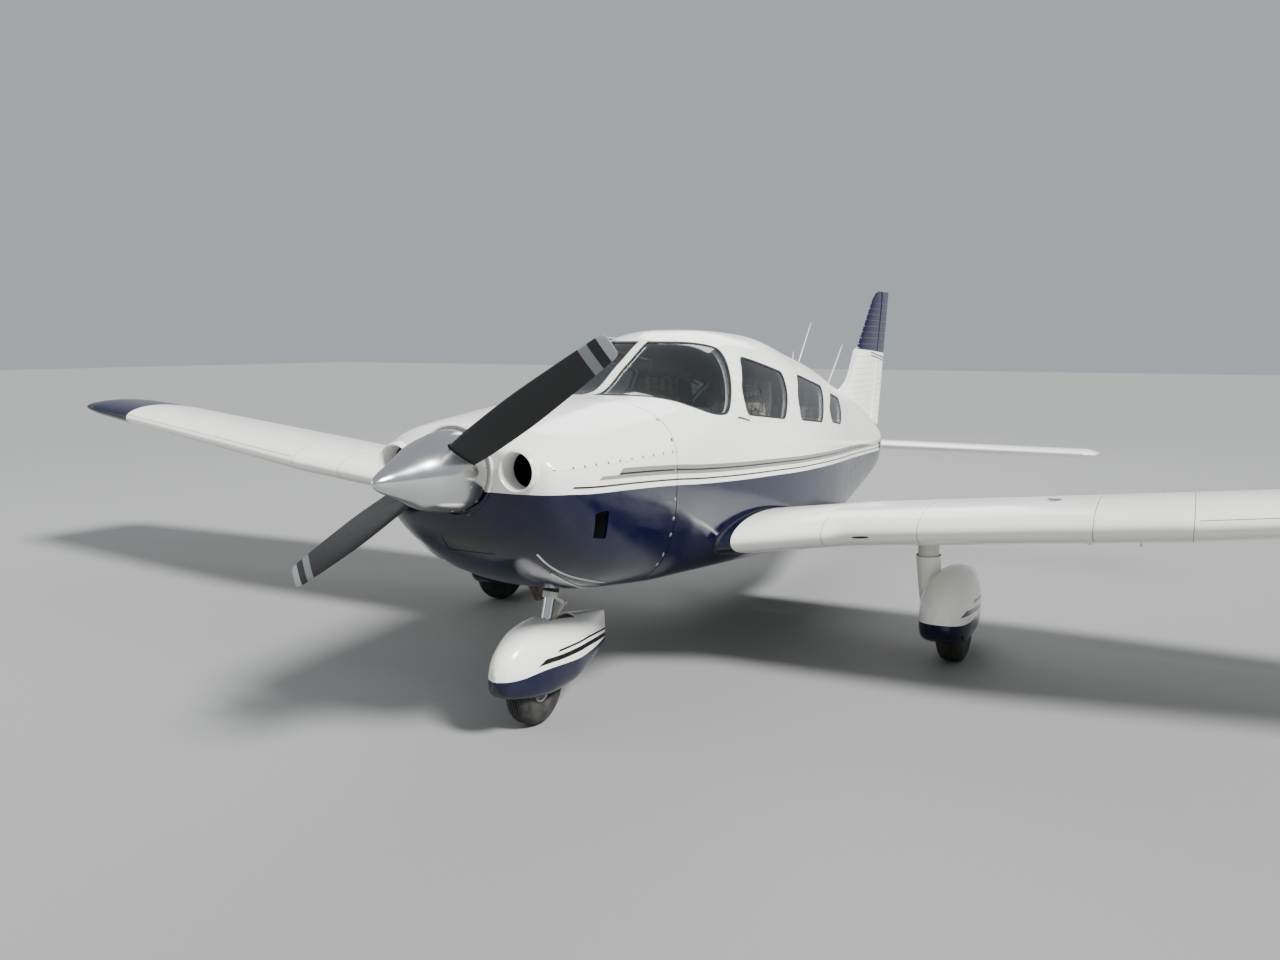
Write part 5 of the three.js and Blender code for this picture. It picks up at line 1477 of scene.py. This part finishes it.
stem = tube("stem", curve([at(-400, 4080, 600), at(-440, 4085, 540), at(-520, 4095, 412),
                           at(-556, 4100, 356), at(-562, 4101, 340)], 6), 13, None, 24)
tread = block("tread", (-630, 4052, 329), (-500, 4148, 341))
ribs = [block("rib", (-628, s, 338), (-502, s + 6, 347.5)) for s in range(4056, 4146, 13)]
carve(stem, hull("cabin", CABIN_FRONT, CABIN_BACK, -0.5))
step = joined("boarding_step_steel", stem, tread, *ribs, material=plated_steel)
fit(step, "airframe", "boarding_step", slot="steel")

# Cabin floor and bulkheads: carpet over plywood boards, and a padded board behind the rear seat.
# Looped wool carpet: dark, matt, with tufts 4 mm apart, drawn at 9 mm so that they show
carpet = surface("looped_carpet", {"Base Color": linear("#3A3B40"), "Roughness": 0.95},
                 worn(0.85, 1.0, 110.0, 0.6, "#2A2B2F", "#44454B"))
inside = hull("inside", CABIN_FRONT - 10, CABIN_BACK + 10, CABIN_WALL + FIT + 0.5)
board = carve(block("board", (-3000, 1455, 735), (3000, 4640, 745)), inside, how="INTERSECT",
              keep=True)
tunnel_x, tunnel_z = np.array([[-70, 742], [-62, 747], [-40, 750], [40, 750], [62, 747],
                               [70, 742]]).T
tunnel = loft("tunnel", [at(tunnel_x, s, tunnel_z) for s in (1460, 3300)])
board = joined("cabin_floor_carpet", board, tunnel, material=carpet)
fit(board, "airframe", "floor", slot="cabin_trim")
rear = hull("rear_board", 4650, 4657, CABIN_WALL + FIT + 0.5, 3)
pad = loft("pad", [rounded_box(0, s, 1200 + e, 1010, 820 + e, 280 - e, 6, 6, 48)
                   for s, e in ((4655, 0), (4660, 0), (4662, 6))])
rear = joined("rear_bulkhead_board", rear, pad, material=cabin_lining)
fit(rear, "airframe", "rear_bulkhead", slot="cabin_lining")

# Instrument panel: black crackle-painted sheet with round gauges and stacked radios under a moulded
# glareshield. Every face is blank.
# Crackle paint: black, matt, rough to the touch
crackle = surface("crackle_black", {"Base Color": linear("#1B1C1E")}, worn(0.6, 0.85, 90.0, 0.4))
# Gauge glass over a black dial
dial_glass = surface("dial_glass", {"Base Color": linear("#0B0C0D"), "Roughness": 0.05, "IOR": 1.5})
panel = carve(block("panel", (-3000, 1906, 1032), (3000, 1918, 1445)), inside, how="INTERSECT",
              keep=True)
xs = np.linspace(-560, 560, 60)
shelf_rings = [np.concatenate([at(xs, s, top), at(xs[::-1], s, top - thick)]) for s, top, thick in
               ((1662, 1450, 8), (1700, 1455, 13), (1800, 1457, 15), (1925, 1457, 16),
                (1950, 1454, 13), (1959, 1449, 6))]
shelf = carve(loft("shelf", shelf_rings), inside, how="INTERSECT", keep=True)
LARGE_DIALS = [(x, z) for x in (150, 245, 340, 435) for z in (1370, 1275)]
SMALL_DIALS = [(x, z) for x in (-170, -235, -300) for z in (1380, 1315, 1250)]
RADIOS = (1395, 1345, 1295, 1245)
bezels = [rod("bezel", at(x, 1916, z), at(x, 1921.5, z), 43, 41, sides=40) for x, z in LARGE_DIALS]
bezels += [loft("radio", [rounded_box(-20, s, z + 21, z, z - 21, 80 - e, 9, 9, 28)
                          for s, e in ((1915, 0), (1922, 0), (1924, 3))]) for z in RADIOS]
bezels += [rod("bezel", at(x, 1916, z), at(x, 1921, z), 27, 26, sides=32) for x, z in SMALL_DIALS]
panel = joined("instrument_panel_sheet", panel, shelf, *bezels, material=crackle, edge=30)
fit(panel, "airframe", "instrument_panel", slot="cabin_trim")
dials = [rod("dial", at(x, 1920, z), at(x, 1922.5, z), 36, sides=40) for x, z in LARGE_DIALS]
dials += [rod("dial", at(x, 1920, z), at(x, 1922, z), 22, sides=32) for x, z in SMALL_DIALS]
dials += [block("window", (-62, 1922, z - 4), (22, 1924.6, z + 12)) for z in RADIOS]
fit(joined("gauge_faces", *dials, material=dial_glass), "airframe", slot="cabin_trim")
knobs = [(at(x, 1924, z), (0, 1, 0)) for x, z in
         [(x, z) for z in RADIOS[:3] for x in (50, -90)] + [(x, 1120) for x in (-60, -20, 20)]
         + [(x, 1180) for x in (120, 180, 240)]]
fit(studs("panel_knobs", knobs, 8, 0.9, plated_steel, 16, 6), "airframe", slot="steel")

# Control yokes: a moulded wheel with two upright horns on a steel column through the panel.
# Moulded nylon, black and satin
moulded_black = surface("moulded_nylon", {"Base Color": linear("#1D1E20"), "IOR": 1.5},
                        worn(0.35, 0.6, 60.0, 0.15))
for word, x in (("left", 270), ("right", -270)):
    path = curve([at(x + dx, 2070, z) for dx, z in
                  ((-131, 1352), (-131, 1300), (-122, 1268), (-80, 1258), (0, 1262), (80, 1258),
                   (122, 1268), (131, 1300), (131, 1352))], 8)
    radii = np.interp(np.arange(len(path)), [0, 2, 14, 22, 32, 42, 50, 62, 64],
                      [9, 13, 13.5, 12, 11, 12, 13.5, 13, 9])
    wheel = tube("wheel", path, radii, None, 20)
    column = rod("column", at(x, 1925.5, 1262), at(x, 2070, 1262), 11.5, sides=24)
    boss = rod("boss", at(x, 2056, 1262), at(x, 2082, 1262), 27, 22, sides=40)
    pad = loft("pad", [rounded_box(x, s, 1290, 1262, 1236, w, 4, 4, 32) for s, w in
                       ((2058, 40), (2078, 44), (2082, 38))])
    wheel = joined("yoke_" + word + "_moulding", wheel, column, boss, pad, material=moulded_black)
    fit(wheel, "airframe", "yoke_" + word, slot="cabin_trim")

# Seats: cushions of foam under sewn covers, each blown up a little against its seams, with piping
# round the edge and sewn channels, on pressed pans that stand on rails.
def cover_scheme(tree):
    """Pale woven stripes down the middle of a beige cover."""
    coordinates, x, y, z = own_place(tree)
    # the weave is 1 mm, drawn at 3 mm so that it shows
    weave = noise(tree, coordinates, 330.0, 1.0)
    wear = noise(tree, coordinates, 9.0, 4.0)
    phase = maths(tree, "FRACT", maths(tree, "DIVIDE", x, 0.052))
    stripe = maths(tree, "GREATER_THAN", phase, 0.62)
    striped = blend(tree, stripe, linear("#A89D86"), linear("#6F6756"))
    soiled = remap(tree, wear, 0.5, 0.8, 0.0, 0.35)
    color = blend(tree, soiled, striped, linear("#7C705C"))
    bump = raised(tree, weave, 0.35, 0.001)
    return {"Base Color": color, "Normal": bump}


# Woven wool and nylon cover: matt, with a soft sheen at its edges
seat_cover = surface("woven_seat_cover", {"Roughness": 0.9, "Sheen Weight": 0.25}, cover_scheme)
# Vinyl piping and seat shells, grey-brown
vinyl = surface("seat_vinyl", {"Base Color": linear("#6B6355"), "IOR": 1.5},
                worn(0.4, 0.6, 70.0, 0.15))


SEAM_POINTS = 140


def cushion(name, width, depth, thick, channels, cap):
    """A cushion flat on its own X and Y: a rounded box blown up by cloth, then sewn in channels."""
    half, long, up = width / 2, depth / 2, thick / 2
    c, s = circle(SEAM_POINTS)
    rings = []
    for t in np.linspace(-1, 1, 13):
        pull = 1 - 0.09 * abs(t) ** 3 - 0.03 * abs(t)
        reach = pull / (np.abs(c / half) ** 7 + np.abs(s / long) ** 7) ** (1 / 7)
        x, y = reach * c, reach * s
        crown = 1 - 0.10 * ((x / half) ** 2 + (y / long) ** 2)
        rings.append(np.stack([x, y, up * t * crown], -1) / 1000)
    made = loft(name, rings, None, 60)
    remesh = made.modifiers.new("remesh", "REMESH")
    remesh.mode, remesh.voxel_size = "VOXEL", 0.006
    settle(made)
    rest = read(made.data.vertices, "co", 3)
    cloth = made.modifiers.new("cloth", "CLOTH")
    cloth.settings.use_pressure = True
    cloth.settings.uniform_pressure_force = 4
    cloth.settings.effector_weights.gravity = 0
    for number in range(1, 21):
        scene.frame_set(number)
    settle(made)
    scene.frame_set(1)
    # no point moves further than the cap
    step = read(made.data.vertices, "co", 3) - rest
    size = np.linalg.norm(step, axis=1, keepdims=True)
    step *= np.minimum(1, cap / 1000 / np.maximum(size, 1e-9))
    made.data.vertices.foreach_set("co", (rest + step).ravel())
    points = read(made.data.vertices, "co", 3)
    above = points[:, 2] > 0
    for x in channels:
        groove = np.exp(-((points[:, 0] * 1000 - x) / 7) ** 2) * 0.007
        inner = np.clip((long - 35 - np.abs(points[:, 1] * 1000)) / 20, 0, 1)
        points[:, 2] -= above * groove * inner
    across = np.exp(-((np.abs(points[:, 1] * 1000) - (long - 42)) / 7) ** 2) * 0.006
    points[:, 2] -= above * across * np.clip((half - 20 - np.abs(points[:, 0] * 1000)) / 20, 0, 1)
    made.data.vertices.foreach_set("co", points.ravel())
    soften(made, 70)
    coat(made, seat_cover)
    return made, piping(name, points, thick)


def piping(name, points, thick):
    """A cord of vinyl 9 mm thick round the widest line of a cushion's points."""
    seam = []
    flat = points[np.abs(points[:, 2]) < thick / 2000 + 0.004]
    for c, s in zip(*circle(SEAM_POINTS)):
        reach = flat[:, 0] * c + flat[:, 1] * s
        near = flat[(np.abs(flat[:, 0] * s - flat[:, 1] * c) < 0.02) & (reach > 0)]
        furthest = (near[:, 0] * c + near[:, 1] * s).max()
        seam.append([furthest * c, furthest * s, thick / 5000])
    seam = np.array(seam)
    for _ in range(3):
        seam = (np.roll(seam, 1, 0) + seam * 2 + np.roll(seam, -1, 0)) / 4
    outwards = seam - (0, 0, thick / 5000)
    outwards /= np.linalg.norm(outwards, axis=1)[:, None]
    points = np.concatenate([seam + 0.0045 * (outwards * c + np.array([0, 0, 1]) * s)
                             for c, s in zip(*circle(10))])
    cord = make(name + "_piping", points, grid(10, SEAM_POINTS, True), vinyl, 70)
    outward(cord)
    return cord


def seat(name, node, x, parts):
    """Cushions on both sides, each given as its sizes, then station, height and lean."""
    for part, (sizes, station, z, lean) in parts.items():
        made = cushion(part, *sizes)
        place = (Matrix.Translation(Vector(at(x, station, z)))
                 @ Matrix.Rotation(math.radians(lean), 4, "X"))
        for word in ("left", "right"):
            for thing, ending in zip(made, ("", "_piping")):
                mine = copy_of(thing, f"{name}_{part}{ending}_{word}")
                mine.data.transform(place)
                if word == "right":
                    mine.data.transform(Matrix.Scale(-1, 4, (1, 0, 0)))
                    mine.data.flip_normals()
                soften(mine, 70)
                fit(mine, "airframe", *([] if ending else [node.format(word)]), slot="seat_cover")
        discard(*made)


seat("front_seat", "front_seat_{}", 255, {
    "base": ((404, 392, 74, (-95, 0, 95), 14), 2578, 1062, -4.6),
    "back": ((396, 372, 66, (-95, 0, 95), 13), 2879, 1262, 90 - 13.4),
    "headrest": ((236, 118, 44, (), 7), 2925, 1518, 90 - 4)})
seat("rear_seat", "rear_seat", 228, {
    "base": ((424, 388, 70, (-105, 0, 105), 14), 3612, 1030, -4.2),
    "back": ((424, 330, 62, (-105, 0, 105), 13), 3925, 1206, 90 - 17),
    "headrest": ((236, 92, 42, (), 7), 3976, 1400, 90 - 4)})
FRONT_SHELL = [(2372, 1012), (2376, 1022), (2780, 985), (2800, 990), (2878, 1200), (2945, 1440),
               (2948, 1556), (2957, 1556), (2984, 1436), (2894, 968), (2505, 966)]
REAR_SHELL = [(3412, 982), (3416, 990), (3840, 952), (3850, 960), (3990, 1340), (3996, 1440),
              (4006, 1440), (4034, 1328), (3944, 946), (3455, 944)]
for word, side in SIDES:
    pan = side_plate("pan", rounded(FRONT_SHELL, 12, 5), side * 70, side * 440)
    rails = [block("rail", (side * x - 14, 2484, 751), (side * x + 14, 2856, 772))
             for x in (100, 410)]
    legs = [block("leg", (side * x - 9, s, 765), (side * x + 9, s + 34, 985)) for x in (100, 410)
            for s in (2500, 2810)]
    frame_part = joined("front_seat_frame_" + word, pan, *rails, *legs)
    coat(carve(frame_part, inside, how="INTERSECT", keep=True), vinyl)
    fit(frame_part, "airframe", slot="seat_cover")
pan = side_plate("pan", rounded(REAR_SHELL, 12, 5), -455, 455)
legs = [block("leg", (x - 18, s, 751), (x + 18, s + 40, 965)) for x in (-380, 380)
        for s in (3524, 3836)]
frame_part = joined("rear_seat_frame", pan, *legs)
coat(carve(frame_part, inside, how="INTERSECT"), vinyl)
fit(frame_part, "airframe", slot="seat_cover")

# Cabin fittings: screws round the windows, rivets along the panel seams, and the hinges, handles and
# locks of the two doors.
def spaced(outline, reach, pitch):
    """Points every so many millimetres along an outline grown by a reach."""
    ring = grown(outline, reach)
    ring = np.vstack([ring, ring[:1]])
    run = np.concatenate([[0], np.cumsum(np.linalg.norm(np.diff(ring, axis=0), axis=1))])
    marks = np.arange(0, run[-1] - pitch / 2, run[-1] / round(run[-1] / pitch))
    return np.stack([np.interp(marks, run, ring[:, k]) for k in (0, 1)], -1)


fixed, swinging = [], []
for name, outline in SIDE_WINDOWS.items():
    for side in (-1, 1):
        places = [hull_at(side, s, z) for s, z in spaced(rounded(outline, WINDOW_CORNER), 16, 52)]
        (swinging if (name, side) == ("front", -1) else fixed).extend(places)
for s, z in spaced(screen_outline, 18, 60):
    if s > 1740 and z < 1745:
        fixed += [hull_at(side, s, z) for side in (-1, 1)]
for x in (-14, 14):
    fixed += [hull_over(x, s) for s in range(1700, 2180, 60)]
fit(studs("window_screws", fixed, 3.6, 1.0, plated_steel, 8), "airframe", slot="steel")
fit(studs("door_window_screws", swinging, 3.6, 1.0, plated_steel, 8), "cabin_door", slot="steel")
# Round-headed aluminium rivets, painted over with the skin
rivets = [hull_at(side, s, PANEL_SEAM + off) for side in (-1, 1) for off in (-12, 12)
          for s in range(1460, 4690, 34) if not (side < 0 and 2140 < s < 3180)]
# frames, with no rivets over the windows, the windscreen or the two doors
OPEN = ((2280, 3010, 1330, 1720), (3180, 3980, 1258, 1600), (3998, 4562, 1198, 1440))
for s in (2060, 3110, 3740, 4180, 4686, 4714):
    row = between(HULL, s)[0]
    for z in np.arange(row[2] + 40, 1385 if s == 2060 else row[0] - 60, 34):
        if any(a - 30 < s < b + 30 and low - 30 < z < top + 30 for a, b, low, top in OPEN):
            continue
        if not (2150 < s < 3170 and z > 980 or 3760 < s < 4320 and 720 < z < 1170):
            rivets.append(hull_at(-1, s, z))
        rivets.append(hull_at(1, s, z))
for s in (5210, 5720, 6210, 6390):
    row = between(HULL, s)[0]
    rivets += [hull_at(side, s, z) for side in (-1, 1)
               for z in np.arange(row[2] + 20, row[0] - 20, 30)]
for low in (0.34, 0.72):
    for s in range(4740, 6900, 34):
        row = between(HULL, s)[0]
        rivets += [hull_at(side, s, row[2] + (row[0] - row[2]) * low) for side in (-1, 1)]
fit(studs("fuselage_rivets", rivets, 2.6, 0.7, fuselage_enamel, 6), "airframe", slot="white_skin")

lever = curve([at(-577, 2905, 1243), at(-588, 2915, 1243), at(-592, 2950, 1243),
               at(-591, 2982, 1240)], 6)
handle = [tube("lever", lever, [5] * 6 + [6] * 7 + [6.5] * 6, None, 16),
          studs("rose", [hull_at(-1, 2900, 1242)], 19, 5, None, 28, 4),
          studs("stop", [hull_at(-1, 2950, 1242)], 7, 3, None, 16, 3)]
fit(joined("cabin_door_handle", *handle, material=plated_steel), "cabin_door", slot="steel")
for number, z in enumerate((1080, 1330)):
    spot, normal = hull_at(-1, 2190, z)
    spindle = spot + normal * 0.001
    pin = rod("pin", spindle + (0, 0, -0.022), spindle + (0, 0, 0.022), 5.5, sides=20)
    leaf = loft("leaf", [[spot + normal * h + (0, a, b) for a, b in
                          ((0.0, -0.02), (0.045, -0.014), (0.045, 0.014), (0.0, 0.02))]
                         for h in (-0.002, 0.0022)])
    fit(joined(f"cabin_door_hinge_{number}", pin, leaf, material=fuselage_enamel), "cabin_door",
        slot="white_skin")
fit(studs("baggage_door_lock", [hull_at(-1, 4040, 775)], 12, 3, plated_steel, 28, 3),
    "baggage_door", slot="steel")
# Storm window: a small hinged flap in the left front pane, with a black knob and a rubber edge
flap_path = [hull_at(1, s, z, -3.4)[0] for s, z in
             rounded([(2330, 1425), (2345, 1560), (2560, 1535), (2545, 1405)], 24, 5)]
flap_path = np.vstack([flap_path, flap_path[:1]])
fit(tube("storm_window_edge", flap_path, 2.4, seal_rubber, 8), "airframe", slot="cabin_trim")
fit(studs("storm_window_knob", [hull_at(1, 2438, 1428, -3)], 11, 7, moulded_black, 20, 2),
    "airframe", slot="cabin_trim")
grip = curve([hull_at(1, s, z, 2.5)[0] for s, z in
              ((2179, 1395), (2215, 1391), (2270, 1381), (2326, 1370))], 6)
fit(tube("cabin_side_grip", grip, 3.6, moulded_black, 12), "airframe", slot="cabin_trim")

# Landing light: a clear lens over a dark reflector that closes the opening under the spinner.
# Moulded clear acrylic over black
lamp_glass = surface("landing_light_lens", {"Base Color": linear("#05060A"), "Roughness": 0.12,
                                            "IOR": 1.49})
lens = hull("landing_light_lens", COWL_FRONT + 6, 700, 3, 10, 160)
carve(lens, block("pocket", (-119.4, 440, 905.6), (119.4, 640, 984.4)), how="INTERSECT")
carve(lens, hull("hollow", COWL_FRONT + 16, 720, 11, 10, 160))
coat(lens, lamp_glass)
fit(lens, "airframe", slot="glazing")

# Wing fittings: rivets along ribs and spar, tie-down pads, fuel caps, position lights, rubber along
# the roots, and the stall-warning vane.
def on_wing(x, station, above=True):
    """A point on the wing's skin and the normal there, on the left side of the aircraft."""
    way = 1 if above else -1

    def height(x, station):
        ring = wing_section(x)
        part = ring[:35][::-1] if above else ring[34:]
        return np.interp(station, part[:, 1] * 1000 + LENGTH / 2, part[:, 2] * 1000)
    slope_x = (height(x + 5, station) - height(x - 5, station)) / 10
    slope_y = (height(x, station + 3) - height(x, station - 3)) / 6
    normal = np.array([-slope_x, -slope_y, 1.0]) * way
    return at(x, station, height(x, station)), normal / np.linalg.norm(normal)


def edges(x):
    """The stations of the wing's leading and trailing edges."""
    return np.interp(x, WING_PLAN[:, 0], WING_PLAN[:, 1]), np.interp(x, WING_PLAN[:, 0],
                                                                     WING_PLAN[:, 2])


spots = []
for x in (735, 1010, 1180, 1480, 1760, 2020, 2290, 2560, 2710, 3000, 3290, 3580, 3870, 4160, 4450,
          4740, 4915):
    last = 3490 if x < 2700 else 3440 - (x - 2720) * 0.045
    for above in (True, False):
        spots += [on_wing(x, s, above) for s in np.arange(edges(x)[0] + 45, last, 34)]
for share in (0.13, 0.40):
    for x in np.arange(640, 4920, 34):
        nose, tail = edges(x)
        spots += [on_wing(x, nose + (tail - nose) * share, above) for above in (True, False)]
fit_pair(studs("heads", spots, 2.6, 0.7, wing_enamel, 6), "wing_rivets_{}", "white_skin")

TIE_DOWN_X, TIE_DOWN_STATION = 2240, 2700
middle, half = thickness_at(wing_section(TIE_DOWN_X), TIE_DOWN_STATION)
pad_bottom = middle - half - 14
c, s = circle(48)
plate_x, plate_s = (np.sign(v) * np.abs(v) ** 0.35 for v in (c, s))
pad = loft("pad", [at(TIE_DOWN_X + plate_x * w, TIE_DOWN_STATION + plate_s * w, z) for z, w in
                   ((pad_bottom, 32), (pad_bottom + 3, 35), (pad_bottom + 22, 35))], plated_steel)
fit_pair(pad, "tie_down_pad_{}", "steel")

for word, side in SIDES:
    spot, normal = on_wing(2090, 2560)
    spot, normal = spot * (side, 1, 1), normal * (side, 1, 1)
    profile = [(0.001, 4), (30, 4), (36, 2.5), (38, 0), (38, -3), (0.001, -3)]
    cap = turned("cap", profile, spot, normal, None, 48)
    seat_point = spot + normal * 0.005
    bar = rod("bar", seat_point + (-0.024, 0, 0), seat_point + (0.024, 0, 0), 3, sides=12)
    fit(joined("fuel_cap_" + word, cap, bar, material=plated_steel), "airframe", slot="steel")

# Coloured glass over the position lights: red on the left, green on the right
red_glass, green_glass = (
    surface(name, {"Base Color": linear(color), "Roughness": 0.08, "IOR": 1.5})
    for name, color in (("red_lamp_glass", "#7A0A08"), ("green_lamp_glass", "#064A2A")))
lens_rings = []
c, s = circle(24)
for t in np.linspace(0, 1, 9):
    width = math.sqrt(max(0.02, 1 - (2 * t - 1) ** 2))
    x = 5205 + 110 * t
    row = between(WING_TIP, x)[0]
    nose = wing_section(x, *row[:2], thickness=row[2])[34] * 1000
    lens_rings.append(at(x, nose[1] + LENGTH / 2 + 24 - 24 * width * c,
                         nose[2] + 5 + 14 * width * s))
lamp = loft("position_light_left", lens_rings, None, 60)
for thing, glass in ((flip(lamp, "position_light_right"), green_glass), (lamp, red_glass)):
    coat(thing, glass)
    fit(thing, "airframe", slot="glazing")

swollen = []
for x in np.linspace(500, 600, 6):
    ring = wing_section(x)
    swollen.append(ring.mean(0) + (ring - ring.mean(0)) * (1, 1.004, 1.03))
band = carve(loft("band", swollen), hull("swell", CABIN_FRONT, CABIN_BACK, -13), how="INTERSECT")
carve(band, hull("around", CABIN_FRONT, CABIN_BACK, -1),
      hinge_block(at(500, 3490, 600), at(700, 3490, 620), 0, 500))
coat(band, seal_rubber, 38)
fit_pair(band, "root_seal_{}", "cabin_trim")

spindle, thick = [], []
for x in np.linspace(1168, 1262, 17):
    point, normal = on_wing(x, edges(x)[0] + 7, False)
    spindle.append(point - normal * 0.0025)
    thick.append(1 + 7 * math.sqrt(max(0.0, 1 - ((x - 1215) / 47) ** 2)))
fit(tube("stall_vane_plate", spindle, thick, moulded_black, 16), "airframe", slot="cabin_trim")
line = [on_wing(x, edges(x)[0] + 16)[0] for x in range(2730, 5000, 45)]
fit_pair(tube("lap", line, 1.6, seal_rubber, 6), "leading_edge_lap_{}", "cabin_trim")
point, normal = on_wing(2490, 2620, False)
vent = rod("vent", point - normal * 0.004, point + normal * 0.028, 5, 4.5, plated_steel, sides=20)
fit_pair(vent, "fuel_vent_{}", "steel")

# Floor, lamps and camera
floor_paint = surface("pale_floor", {"Base Color": linear("#8E8F8D"), "Roughness": 0.7})
floor = make("floor_sheet", [(-60, -60, 0), (60, -60, 0), (60, 60, 0), (-60, 60, 0)],
             [(0, 1, 2, 3)], floor_paint)
world = bpy.data.worlds.new("studio")
world.use_nodes = True
world.node_tree.nodes["Background"].inputs[0].default_value = linear("#DDE3EA")
world.node_tree.nodes["Background"].inputs[1].default_value = 0.6
scene.world = world
for name, place, kind, size, power in (
        ("key", (8, -2.5, 9), "SUN", math.radians(14), 7.5), ("fill", (-9, -6, 5), "AREA", 6, 250),
        ("rim", (-3, 9, 8), "AREA", 6, 500)):
    lamp = bpy.data.lights.new(name, kind)
    lamp.energy = power
    setattr(lamp, "angle" if kind == "SUN" else "size", size)
    thing = bpy.data.objects.new(name, lamp)
    scene.collection.objects.link(thing)
    thing.location = place
    aim = Vector((0, -1, 0.8)) - Vector(place)
    thing.rotation_euler = aim.to_track_quat("-Z", "Y").to_euler()

lens = bpy.data.cameras.new("camera")
lens.sensor_width, lens.lens = 36.0, 29.566
camera = bpy.data.objects.new("camera", lens)
scene.collection.objects.link(camera)
YAW, PITCH, ROLL = (math.radians(a) for a in (27.635, -7.539, -0.104))
camera.matrix_world = (Matrix.Translation((2.663, -6.61, 1.793)) @ Matrix.Rotation(YAW, 4, "Z")
                       @ Matrix.Rotation(math.pi / 2 + PITCH, 4, "X")
                       @ Matrix.Rotation(-ROLL, 4, "Z"))
scene.camera = camera
